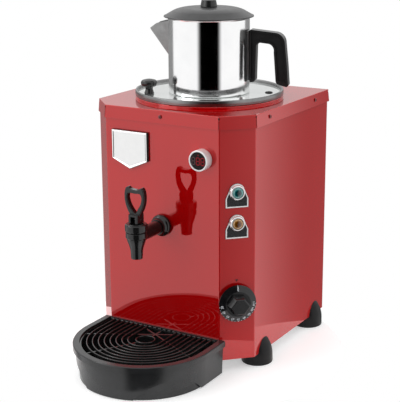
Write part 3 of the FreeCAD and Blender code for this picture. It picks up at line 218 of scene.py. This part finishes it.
softer_at_grazing(POT, 0.15)
SPOUT = plain("satin_spout_steel", (0.24, 0.24, 0.24), (0.31, 0.31, 0.31), 0.3, 0.42, 90, 900, 6e-7, metallic=1.0)
LIDP = plain("lid_moulding", (0.032, 0.032, 0.033), (0.046, 0.046, 0.047), 0.30, 0.38, 80, 2600, 6e-7, spec=0.5)
TRAY = plain("tray_moulding", (0.015, 0.0155, 0.016), (0.023, 0.0235, 0.025), 0.18, 0.25, 50, 2600, 3e-7, spec=0.5)
GRILLE = plain("grille_moulding", (0.009, 0.009, 0.009), (0.015, 0.015, 0.015), 0.14, 0.2, 90, 1600, 3e-7, spec=0.6)
FOOT = plain("foot_rubber_moulding", (0.006, 0.006, 0.0065), (0.012, 0.012, 0.0125), 0.3, 0.42, 90, 1500, 1e-6, spec=0.22)
NYLON = plain("black_nylon_parts", (0.015, 0.015, 0.015), (0.026, 0.026, 0.026), 0.38, 0.5, 140, 1800, 5e-6)
CREAM = plain("cream_nylon_block", (0.66, 0.6, 0.46), (0.76, 0.7, 0.58), 0.4, 0.55, 140, 1600, 5e-6)
INK = plain("dial_ink", (0.72, 0.74, 0.78), (0.82, 0.84, 0.88), 0.4, 0.55, 400)
DARK_MARK = plain("dark_mark_ink", (0.06, 0.001, 0.002), (0.09, 0.002, 0.003), 0.3, 0.4, 300)
DARK_PIN = plain("blackened_pin", (0.012, 0.012, 0.013), (0.02, 0.02, 0.022), 0.3, 0.4, 300)
SEG_OFF = plain("segment_off", (0.075, 0.022, 0.024), (0.1, 0.032, 0.034), 0.3, 0.4, 300)


def lit(name, c_lo, c_hi, strength):
    m, nt, b = new_mat(name)
    n = noise(nt, coords(nt), 900.0, 1.0)
    col = ramp(nt, n, [(0.35, c_lo), (0.65, c_hi)])
    nt.links.new(col, b.inputs["Base Color"])
    nt.links.new(col, b.inputs["Emission Color"])
    sock(b, rough=0.4, spec=0.1, emis=strength)
    return m


SEG_ON = lit("segment_on", (0.22, 0.004, 0.008), (0.32, 0.008, 0.014), 0.3)


def lens_painted_ring_mat(name, z, stops):
    """translucent cap coloured by distance from the lamp's own axis: dark middle, a paler ring near the edge that is a
    painted reflection, deeper colour at the very edge
    """
    m, nt, b = new_mat(name)
    tc = nt.nodes.new("ShaderNodeTexCoord")
    sub = nt.nodes.new("ShaderNodeVectorMath"); sub.operation = "SUBTRACT"
    sub.inputs[1].default_value = (0.10665, -0.04475, z * 0.001)
    nt.links.new(tc.outputs["Object"], sub.inputs[0])
    cr_ = nt.nodes.new("ShaderNodeVectorMath"); cr_.operation = "CROSS_PRODUCT"
    cr_.inputs[1].default_value = (S2, -S2, 0.0)
    nt.links.new(sub.outputs["Vector"], cr_.inputs[0])
    ln = nt.nodes.new("ShaderNodeVectorMath"); ln.operation = "LENGTH"
    nt.links.new(cr_.outputs["Vector"], ln.inputs[0])
    v = coords(nt)
    n = noise(nt, v, 520.0, 2.0)
    ma = nt.nodes.new("ShaderNodeMath"); ma.operation = "MULTIPLY_ADD"
    ma.inputs[1].default_value = 0.0022
    nt.links.new(n, ma.inputs[0])
    nt.links.new(ln.outputs["Value"], ma.inputs[2])
    # radial colour ramp: its pale stop near the edge is a painted reflection, not a moulded ring
    nt.links.new(ramp(nt, span(nt, ma.outputs[0], 0.0, 1.0, 0.0011, 0.0081), stops), b.inputs["Base Color"])
    nt.links.new(span(nt, noise(nt, v, 600.0, 1.0), 0.04, 0.1), b.inputs["Roughness"])
    bump(nt, b, noise(nt, v, 420.0, 1.0), 5e-5)
    sock(b, coat=1.0, coat_rough=0.02, trans=0.1, ior=1.5)
    return m


# the bright stop at 0.86 in each lens ramp is a painted reflection
GREEN = lens_painted_ring_mat("green_lamp_lens", 255.4, [(0.0, (0.0, 0.02, 0.024)), (0.35, (0.0, 0.035, 0.04)), (0.55, (0.002, 0.06, 0.065)), (0.7, (0.01, 0.16, 0.16)), (0.86, (0.2, 0.52, 0.5)), (1.0, (0.02, 0.2, 0.2))])
AMBER = lens_painted_ring_mat("amber_lamp_lens", 212.9, [(0.0, (0.07, 0.018, 0.0)), (0.35, (0.1, 0.028, 0.0)), (0.55, (0.16, 0.055, 0.004)), (0.7, (0.3, 0.12, 0.012)), (0.86, (0.72, 0.42, 0.16)), (1.0, (0.2, 0.09, 0.02))])


def glass_mat():
    m, nt, b = new_mat("tempered_lid_glass")
    v = coords(nt)
    nt.links.new(ramp(nt, noise(nt, v, 14.0, 2.0), [(0.3, (0.93, 0.97, 0.955)), (0.7, (0.97, 0.99, 0.98))]), b.inputs["Base Color"])
    nt.links.new(span(nt, noise(nt, v, 60.0, 3.0), 0.0, 0.02), b.inputs["Roughness"])
    sock(b, trans=0.3, ior=1.5, metallic=0.8)
    return m


GLASS = glass_mat()


def frame_painted_side_shade_mat():
    """polished front, side walls coloured near-black as painted shade: told apart by how far a face turns from the
    panel
    """
    m, nt, b = new_mat("badge_frame_plate")
    tc = nt.nodes.new("ShaderNodeTexCoord")
    sep = nt.nodes.new("ShaderNodeSeparateXYZ")
    nt.links.new(tc.outputs["Normal"], sep.inputs["Vector"])
    ax = nt.nodes.new("ShaderNodeMath"); ax.operation = "ABSOLUTE"
    nt.links.new(sep.outputs["X"], ax.inputs[0])
    ab = nt.nodes.new("ShaderNodeMath"); ab.operation = "SUBTRACT"; ab.use_clamp = True
    ay = nt.nodes.new("ShaderNodeMath"); ay.operation = "ABSOLUTE"
    nt.links.new(sep.outputs["Y"], ay.inputs[0])
    nt.links.new(ay.outputs[0], ab.inputs[0])
    nt.links.new(span(nt, ax.outputs[0], 0.0, 0.9, 0.14, 0.3), ab.inputs[1])
    n = noise(nt, coords(nt), 160.0, 2.0)
    ma = nt.nodes.new("ShaderNodeMath"); ma.operation = "MULTIPLY_ADD"; ma.inputs[1].default_value = 0.08
    nt.links.new(n, ma.inputs[0])
    nt.links.new(ab.outputs[0], ma.inputs[2])
    # faces turned away from the panel get a near-black base colour: painted shade on the side walls, darkest on walls
    # facing left and right
    nt.links.new(ramp(nt, ma.outputs[0], [(0.12, (0.03, 0.032, 0.03)), (0.3, (0.04, 0.042, 0.04)), (0.42, (0.9, 0.9, 0.9)), (1.0, (0.94, 0.94, 0.94))]), b.inputs["Base Color"])
    nt.links.new(span(nt, ma.outputs[0], 0.6, 0.06, 0.15, 0.45), b.inputs["Roughness"])
    nt.links.new(span(nt, ma.outputs[0], 0.0, 1.0, 0.15, 0.45), b.inputs["Metallic"])
    sock(b, spec=0.15)
    return m


FRAME = frame_painted_side_shade_mat()

USE = {
    "casing_wrap": RED, "top_cover": RED, "back_panel": RED, "back_screws": SCREW, "base_plate": STEEL_SHEET, "cover_screws": RED_SCREW,
    "tank": TANK, "tank_insulation": WOOL, "heating_element": SHEATH, "element_flange": BRASS, "element_gasket": SILICONE, "element_nuts": BRASS,
    "temperature_probe": SCREW, "display_bezel": SATIN, "display_lens": WINDOW, "display_nut": NYLON, "lamp_plates": PLATE, "lamp_bezels": CHROME,
    "green_lens": GREEN, "amber_lens": AMBER, "lamp_nuts": NYLON, "thermostat_body": CREAM, "thermostat_nut": BRASS, "knob_shaft": SCREW,
    "control_knob": KNOB, "capillary_bulb": COPPER, "badge_base": CHROME, "badge_face": ENAMEL, "tap_body": TAP, "tap_nut": TAP, "tap_gasket": BLACK_RUBBER,
    "tank_seals": SILICONE, "tap_lock_nuts": BRASS, "tap_bonnet": TAP, "tap_plunger": TAP, "tap_pin": DARK_PIN, "tap_spring": SPRING, "tap_lever": TAP,
    "glass_disc": GLASS, "glass_lid_rim": RIM, "glass_lid_knob": BAKELITE, "lid_knob_screw": SCREW, "steam_grommet": BLACK_RUBBER,
    "pot_body": POT, "pot_spout": SPOUT, "pot_handle": BAKELITE, "pot_handle_bracket": SPOUT, "pot_handle_screws": SCREW,
    "pot_lid": LIDP, "pot_lid_knob": BAKELITE, "pot_lid_screw": SCREW, "drip_tray": TRAY, "tray_grille": GRILLE, "tray_hooks": STEEL_SHEET,
    "hook_rivets": SCREW, "feet": FOOT, "foot_screws": SCREW, "supply_gland": NYLON, "gland_nut": NYLON, "terminal_block": CREAM,
}
for n, o in nodes.items():
    o.data.materials.clear()
    o.data.materials.append(USE[n])


# --------------------------------------------------------------- mesh helpers
def frame_m(o, x, y, z):
    return Matrix(((x[0], y[0], z[0], o[0]), (x[1], y[1], z[1], o[1]), (x[2], y[2], z[2], o[2]), (0, 0, 0, 1)))


def front(x, z):
    """millimetre frame on the front panel: right, up, out"""
    return frame_m((x, -62.0, z), (1, 0, 0), (0, 0, 1), (0, -1, 0))


def chamfer(z, u=24.4):
    return frame_m((89.4 + u * S2, u * S2 - 62.0, z), (S2, S2, 0), (0, 0, 1), (S2, -S2, 0))


def piece(name, verts, faces, mat, body, m=None, smooth=30.0, weld=True):
    """verts in millimetres, placed by m, made into a closed mesh in metres"""
    me = bpy.data.meshes.new(name)
    vs = [(m @ Vector(v) if m is not None else Vector(v)) * MM for v in verts]
    me.from_pydata(vs, [], faces)
    me.update()
    bm = bmesh.new()
    bm.from_mesh(me)
    if weld:
        bmesh.ops.remove_doubles(bm, verts=bm.verts, dist=1e-6)
    bmesh.ops.recalc_face_normals(bm, faces=bm.faces)
    bm.to_mesh(me)
    bm.free()
    me.materials.append(mat)
    o = bpy.data.objects.new(name, me)
    scene.collection.objects.link(o)
    if smooth is not None:
        for p in me.polygons:
            p.use_smooth = True
        me.set_sharp_from_angle(angle=math.radians(smooth))
    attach(o, body)
    return o


def loops(rings, close_ring=True, cap0=True, cap1=True, verts=None, faces=None):
    """quads between successive rings of equal length, with end caps"""
    verts = [] if verts is None else verts
    faces = [] if faces is None else faces
    base = len(verts)
    n = len(rings[0])
    for r in rings:
        verts.extend(r)
    for i in range(len(rings) - 1):
        for j in range(n if close_ring else n - 1):
            k = (j + 1) % n
            faces.append((base + i * n + j, base + i * n + k, base + (i + 1) * n + k, base + (i + 1) * n + j))
    if cap0:
        faces.append(tuple(base + j for j in range(n))[::-1])
    if cap1:
        faces.append(tuple(base + (len(rings) - 1) * n + j for j in range(n)))
    return verts, faces


def band(outer, inner, z0, z1, edge=0.12):
    """a flat frame between two outlines of equal count, its upper edges softened"""
    verts, faces = [], []
    n = len(outer)

    def mix(a, b, t):
        return (a[0] + (b[0] - a[0]) * t, a[1] + (b[1] - a[1]) * t)
    prof = [(0.0, z0), (0.0, z1 - edge), (0.06, z1), (0.94, z1), (1.0, z1 - edge), (1.0, z0)]
    for t, z in prof:
        for a, b in zip(outer, inner):
            p = mix(a, b, t)
            verts.append((p[0], p[1], z))
    k = len(prof)
    for i in range(k):
        i2 = (i + 1) % k
        for j in range(n):
            j2 = (j + 1) % n
            faces.append((i * n + j, i * n + j2, i2 * n + j2, i2 * n + j))
    return verts, faces


# ------------------------------------------------------------ badge frame
def shield(inset):
    w = 28.75 - inset
    return [(-w, 325.4 - inset), (w, 325.4 - inset), (w, 285.4 + inset * 0.25), (0.0, 272.6 + inset * 1.1), (-w, 285.4 + inset * 0.25)]


BADGE = frame_m((-48.75, -62.0, 0.0), (1, 0, 0), (0, 0, 1), (0, -1, 0))
prof = [(0.0, 0.05), (0.0, 3.5), (0.16, 3.95), (0.55, 4.5), (0.75, 4.6), (1.95, 4.6), (2.1, 4.55), (3.1, 4.14), (1.7, 4.13), (1.7, 3.42)]
v, f = loops([[(x, y, z) for x, y in shield(i)] for i, z in prof])
fr = piece("badge_frame", v, f, FRAME, "casing", BADGE, 20.0)
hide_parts("badge_base")


# ------------------------------------------------------------- tap spring
# the coil is a copy of the tap spring with a mesh of its own, hung on the casing body
sp = bpy.data.objects.new("tap_coil", nodes["tap_spring"].data.copy())
sp.matrix_world = nodes["tap_spring"].matrix_world.copy()
scene.collection.objects.link(sp)
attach(sp, "casing")
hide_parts("tap_spring")
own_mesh(sp)


# ------------------------------------------------------- lamp plate borders
def plate_outline(inset):
    w, r, zl = 15.6 - inset, 11.6 - inset, -21.2 + inset
    a = math.radians(25)
    px, py = r * math.cos(a), r * math.sin(a)
    pts = [(w, zl), (w, -8.9 + inset * 0.4), (px, py - 2.0)]
    # arc through (px, py-2), (0, r), (-px, py-2)
    h = r - (py - 2.0)
    rad = (px * px + h * h) / (2 * h)
    cy = r - rad
    a0 = math.atan2(py - 2.0 - cy, px)
    steps = 28
    for i in range(1, steps):
        t = a0 + (math.pi - 2 * a0) * i / steps
        pts.append((rad * math.cos(t), cy + rad * math.sin(t)))
    pts += [(-px, py - 2.0), (-w, -8.9 + inset * 0.4), (-w, zl)]
    return pts


for tag, z in (("green", 255.4), ("amber", 212.9)):
    v, f = band(plate_outline(0.12), plate_outline(1.75), 0.88, 1.06, 0.06)
    piece("lamp_border_" + tag, v, f, BORDER, "casing", chamfer(z), None)


# ------------------------------------------------------------ display digits
def bar(x0, y0, x1, y1, w, z0, z1):
    """one segment with pointed ends"""
    d = Vector((x1 - x0, y1 - y0))
    L = d.length
    d /= L
    n = Vector((-d.y, d.x)) * (w / 2)
    h = w / 2
    p = [Vector((x0, y0)), Vector((x0, y0)) + d * h + n, Vector((x1, y1)) - d * h + n, Vector((x1, y1)), Vector((x1, y1)) - d * h - n, Vector((x0, y0)) + d * h - n]
    ring0 = [(q.x, q.y, z0) for q in p]
    ring1 = [(q.x, q.y, z1) for q in p]
    return ring0, ring1


SEGS = {"a": ((0, 1), (1, 1)), "b": ((1, 1), (1, 0)), "c": ((1, 0), (1, -1)), "d": ((0, -1), (1, -1)), "e": ((0, 0), (0, -1)), "f": ((0, 1), (0, 0)), "g": ((0, 0), (1, 0))}
LIT = {"8": "abcdefg", " ": ""}


def digits(text, x0, pitch, w, h, yc, surf):
    on_v, on_f, off_v, off_f = [], [], [], []
    for i, ch in enumerate(text):
        ox = x0 + i * pitch
        for s, ((ax, ay), (bx, by)) in SEGS.items():
            g = 0.13
            p0 = Vector((ox + ax * w, yc + ay * h / 2))
            p1 = Vector((ox + bx * w, yc + by * h / 2))
            d = (p1 - p0).normalized() * g
            p0, p1 = p0 + d, p1 - d
            z = surf(math.hypot((p0.x + p1.x) / 2, (p0.y + p1.y) / 2))
            r0, r1 = bar(p0.x, p0.y, p1.x, p1.y, 0.95, z - 0.05, z + 0.09)
            if s in LIT[ch]:
                loops([r0, r1], verts=on_v, faces=on_f)
            else:
                loops([r0, r1], verts=off_v, faces=off_f)
    return on_v, on_f, off_v, off_f


def window_z(r):
    """height of the display window's crowned face at radius r"""
    # circle through (12.0, 11.5), (6.2, 11.95), (0.8, 12.1)
    return 12.11 - 0.61 * (r / 12.0) ** 2


DISP = front(64.7, 298.5)
on_v, on_f, off_v, off_f = digits(" 88", -9.6, 7.0, 4.7, 9.6, -0.6, window_z)
# point lamp over the figures
ring0, ring1 = [], []
for i in range(16):
    t = 2 * math.pi * i / 16
    ring0.append((0.2 + 0.75 * math.cos(t), 7.6 + 0.75 * math.sin(t), window_z(7.6) - 0.05))
    ring1.append((0.2 + 0.75 * math.cos(t), 7.6 + 0.75 * math.sin(t), window_z(7.6) + 0.09))
loops([ring0, ring1], verts=on_v, faces=on_f)
piece("display_figures", on_v, on_f, SEG_ON, "casing", DISP, None)
piece("display_unlit", off_v, off_f, SEG_OFF, "casing", DISP, None)


# ---------------------------------------------------- figures on the knob dial
def skirt_z(r):
    """height of the knob's skirt above the panel at radius r"""
    if r > 26.0:
        r = 26.0
    # circle through (26, 5.8), (22.2, 7.3), (17.6, 9.2)
    t = (26.0 - r) / 8.4
    return 5.8 + 3.4 * t + 0.05 * math.sin(math.pi * t)


def text_mesh(body, size):
    cu = bpy.data.curves.new("figure_outline", "FONT")
    cu.body = body
    cu.size = size
    cu.align_x = "CENTER"
    cu.extrude = 0.1
    cu.resolution_u = 4
    cu.offset = size * 0.012
    ob = bpy.data.objects.new("figure_outline", cu)
    scene.collection.objects.link(ob)
    bpy.context.view_layer.update()
    me = bpy.data.meshes.new_from_object(ob)
    vs = [tuple(x.co) for x in me.vertices]
    fs = [tuple(p.vertices) for p in me.polygons]
    bpy.data.objects.remove(ob)
    bpy.data.curves.remove(cu)
    bpy.data.meshes.remove(me)
    return vs, fs


KN = chamfer(101.0)
dv, df = [], []


def on_skirt(vs, fs, alpha, r_mid, y_mid):
    """flat figure to the conical skirt; alpha clockwise from the top, top of the figure outwards"""
    base = len(dv)
    for x, y, z in vs:
        r = r_mid + (y - y_mid)
        a = math.radians(alpha) + x / r_mid
        dv.append((r * math.sin(a), r * math.cos(a), skirt_z(r) + (0.05 if z > 0 else -0.08)))
    df.extend(tuple(base + i for i in f) for f in fs)


for k, num in enumerate(("110", "100", "90", "80", "70", "60", "50", "40", "30")):
    vs, fs = text_mesh(num, 4.3)
    on_skirt(vs, fs, 94.0 + 21.0 * k, 22.3, 1.5)


def tick(alpha, r0, r1, w0, w1):
    n = 4
    r_ = [[], []]
    top, low = [], []
    for i in range(n + 1):
        t = i / n
        r = r0 + (r1 - r0) * t
        w = w0 + (w1 - w0) * t
        top.append((-w / 2, r))
    for i in range(n, -1, -1):
        t = i / n
        r = r0 + (r1 - r0) * t
        w = w0 + (w1 - w0) * t
        top.append((w / 2, r))
    a = math.radians(alpha)
    for dz, ring in ((-0.08, r_[0]), (0.05, r_[1])):
        for x, r in top:
            ring.append((r * math.sin(a) + x * math.cos(a), r * math.cos(a) - x * math.sin(a), skirt_z(r) + dz))
    loops(r_, verts=dv, faces=df)


for k in range(9):
    tick(94.0 + 21.0 * k, 24.7, 25.9, 0.8, 0.8)
for k in range(8):
    tick(104.5 + 21.0 * k, 25.0, 25.9, 0.5, 0.5)
tick(0.0, 21.6, 25.9, 1.5, 0.5)
vs, fs = text_mesh("0", 4.0)
on_skirt(vs, fs, 0.0, 19.9, 1.4)
piece("dial_figures", dv, df, INK, "control_knob", KN, None)

# pointer mark on the panel over the knob
tri = [(-2.2, 32.8), (2.2, 32.8), (0.0, 28.8)]
v, f = loops([[(x, y, -0.05) for x, y in tri], [(x, y, 0.10) for x, y in tri]])
piece("pointer_mark", v, f, DARK_MARK, "casing", KN, None)


# --------------------------------------------------------------------- camera
YAW, PITCH, ROLL = -0.5400416, 0.269956, -0.0061487
cp, sp = math.cos(PITCH), math.sin(PITCH)
fw = Vector((math.sin(YAW) * cp, math.cos(YAW) * cp, -sp))
rt = Vector((math.cos(YAW), -math.sin(YAW), 0.0))
up = rt.cross(fw)
cr, sr = math.cos(ROLL), math.sin(ROLL)
X = rt * cr + up * sr
Y = -rt * sr + up * cr
cam = bpy.data.cameras.new("camera")
cam.sensor_fit = "AUTO"
cam.sensor_width = 36.0
cam.lens = 1120.394 * 36.0 / 402.0
cam.clip_start, cam.clip_end = 0.05, 50.0
cam_o = bpy.data.objects.new("camera", cam)
cam_o.matrix_world = Matrix(((X.x, Y.x, -fw.x, 0.798326), (X.y, Y.y, -fw.y, -1.293191), (X.z, Y.z, -fw.z, 0.638168), (0, 0, 0, 1)))
scene.collection.objects.link(cam_o)
scene.camera = cam_o


# ---------------------------------------------------------------------- studio
def floor():
    """a plain round of pale paper, faintly self-lit, the same to every ray"""
    me = bpy.data.meshes.new("studio_floor")
    n, R = 128, 0.225
    vs = [(0, 0, 0)] + [(R * math.cos(2 * math.pi * i / n), R * math.sin(2 * math.pi * i / n), 0) for i in range(n)]
    fs = [(0, 1 + i, 1 + (i + 1) % n) for i in range(n)]
    me.from_pydata(vs, [], fs)
    me.update()
    m, nt, b = new_mat("studio_paper")
    nt.links.new(ramp(nt, noise(nt, coords(nt), 3.0, 1.0), [(0.3, (0.9, 0.9, 0.9)), (0.7, (0.92, 0.92, 0.92))]), b.inputs["Base Color"])
    b.inputs["Emission Color"].default_value = (1, 1, 1, 1)
    sock(b, rough=1.0, spec=0.0, emis=0.36)
    me.materials.append(m)
    o = bpy.data.objects.new("studio_floor", me)
    scene.collection.objects.link(o)


floor()


def area(name, loc, aim, sx, sy, watts, spread=180.0, seen=True):
    li = bpy.data.lights.new(name, "AREA")
    li.shape = "RECTANGLE"
    li.size, li.size_y = sx, sy
    li.energy = watts
    li.spread = math.radians(spread)
    o = bpy.data.objects.new(name, li)
    o.location = loc
    d = Vector(aim) - Vector(loc)
    o.rotation_mode = "QUATERNION"
    o.rotation_quaternion = d.to_track_quat("-Z", "Y")
    o.visible_camera = False
    o.visible_glossy = seen
    scene.collection.objects.link(o)
    return o


area("key_left", (-1.1, -1.5, 1.0), (-0.1, -0.1, 0.15), 1.2, 0.9, 5.6, seen=True)
area("top_left", (-1.1, -0.15, 1.5), (0.0, 0.0, 0.2), 0.5, 0.25, 2.2, seen=True)

world = bpy.data.worlds.new("studio")
scene.world = world
world.use_nodes = True
wt = world.node_tree
wt.nodes.clear()
w_out = wt.nodes.new("ShaderNodeOutputWorld")
bg_seen = wt.nodes.new("ShaderNodeBackground")
bg_seen.inputs["Color"].default_value = (1, 1, 1, 1)
bg_seen.inputs["Strength"].default_value = 1.0
bg_room = wt.nodes.new("ShaderNodeBackground")
lp = wt.nodes.new("ShaderNodeLightPath")
mixw = wt.nodes.new("ShaderNodeMixShader")
wt.links.new(lp.outputs["Is Camera Ray"], mixw.inputs["Fac"])
wt.links.new(bg_room.outputs["Background"], mixw.inputs[1])
wt.links.new(bg_seen.outputs["Background"], mixw.inputs[2])
wt.links.new(mixw.outputs["Shader"], w_out.inputs["Surface"])


def wmath(op, a, b=None, c=None, clamp=False):
    n = wt.nodes.new("ShaderNodeMath")
    n.operation = op
    n.use_clamp = clamp
    for i, x in enumerate((a, b, c)):
        if x is None:
            continue
        if isinstance(x, (int, float)):
            n.inputs[i].default_value = x
        else:
            wt.links.new(x, n.inputs[i])
    return n.outputs[0]


def wstep(x, lo, hi, a=0.0, b=1.0):
    n = wt.nodes.new("ShaderNodeMapRange")
    n.interpolation_type = "SMOOTHSTEP"
    n.inputs["From Min"].default_value = lo
    n.inputs["From Max"].default_value = hi
    n.inputs["To Min"].default_value = a
    n.inputs["To Max"].default_value = b
    wt.links.new(x, n.inputs["Value"])
    return n.outputs["Result"]


tcw = wt.nodes.new("ShaderNodeTexCoord")
sepw = wt.nodes.new("ShaderNodeSeparateXYZ")
wt.links.new(tcw.outputs["Generated"], sepw.inputs["Vector"])
gx, gy, gz = sepw.outputs["X"], sepw.outputs["Y"], sepw.outputs["Z"]
hl = wmath("SQRT", wmath("ADD", wmath("MULTIPLY", gx, gx), wmath("MULTIPLY", gy, gy)))
hl = wmath("MAXIMUM", hl, 0.0001)
# a white room: one unlit end at azimuth -59 degrees, and a dimmer end opposite, both with soft edges
AZ = math.radians(-59.1)
cd = wmath("DIVIDE", wmath("ADD", wmath("MULTIPLY", gx, math.cos(AZ)), wmath("MULTIPLY", gy, math.sin(AZ))), hl)
unlit = wmath("MULTIPLY", wstep(cd, 0.80, 0.925), wstep(gz, 0.45, 0.75, 1.0, 0.0))
far_end = wmath("MULTIPLY", wstep(cd, -0.56, -0.49, 1.0, 0.0), wstep(gz, -0.15, 0.42, 1.0, 0.0))
room = wmath("MULTIPLY", wmath("MULTIPLY", wmath("SUBTRACT", 1.0, unlit), wmath("SUBTRACT", 1.0, wmath("MULTIPLY", far_end, 0.76))), 1.08)
wt.links.new(room, bg_room.inputs["Strength"])
bg_room.inputs["Color"].default_value = (1.0, 1.0, 1.0, 1)

scene.view_settings.view_transform = "Standard"
scene.view_settings.look = "None"
scene.view_settings.exposure = 0.0
scene.view_settings.gamma = 1.0
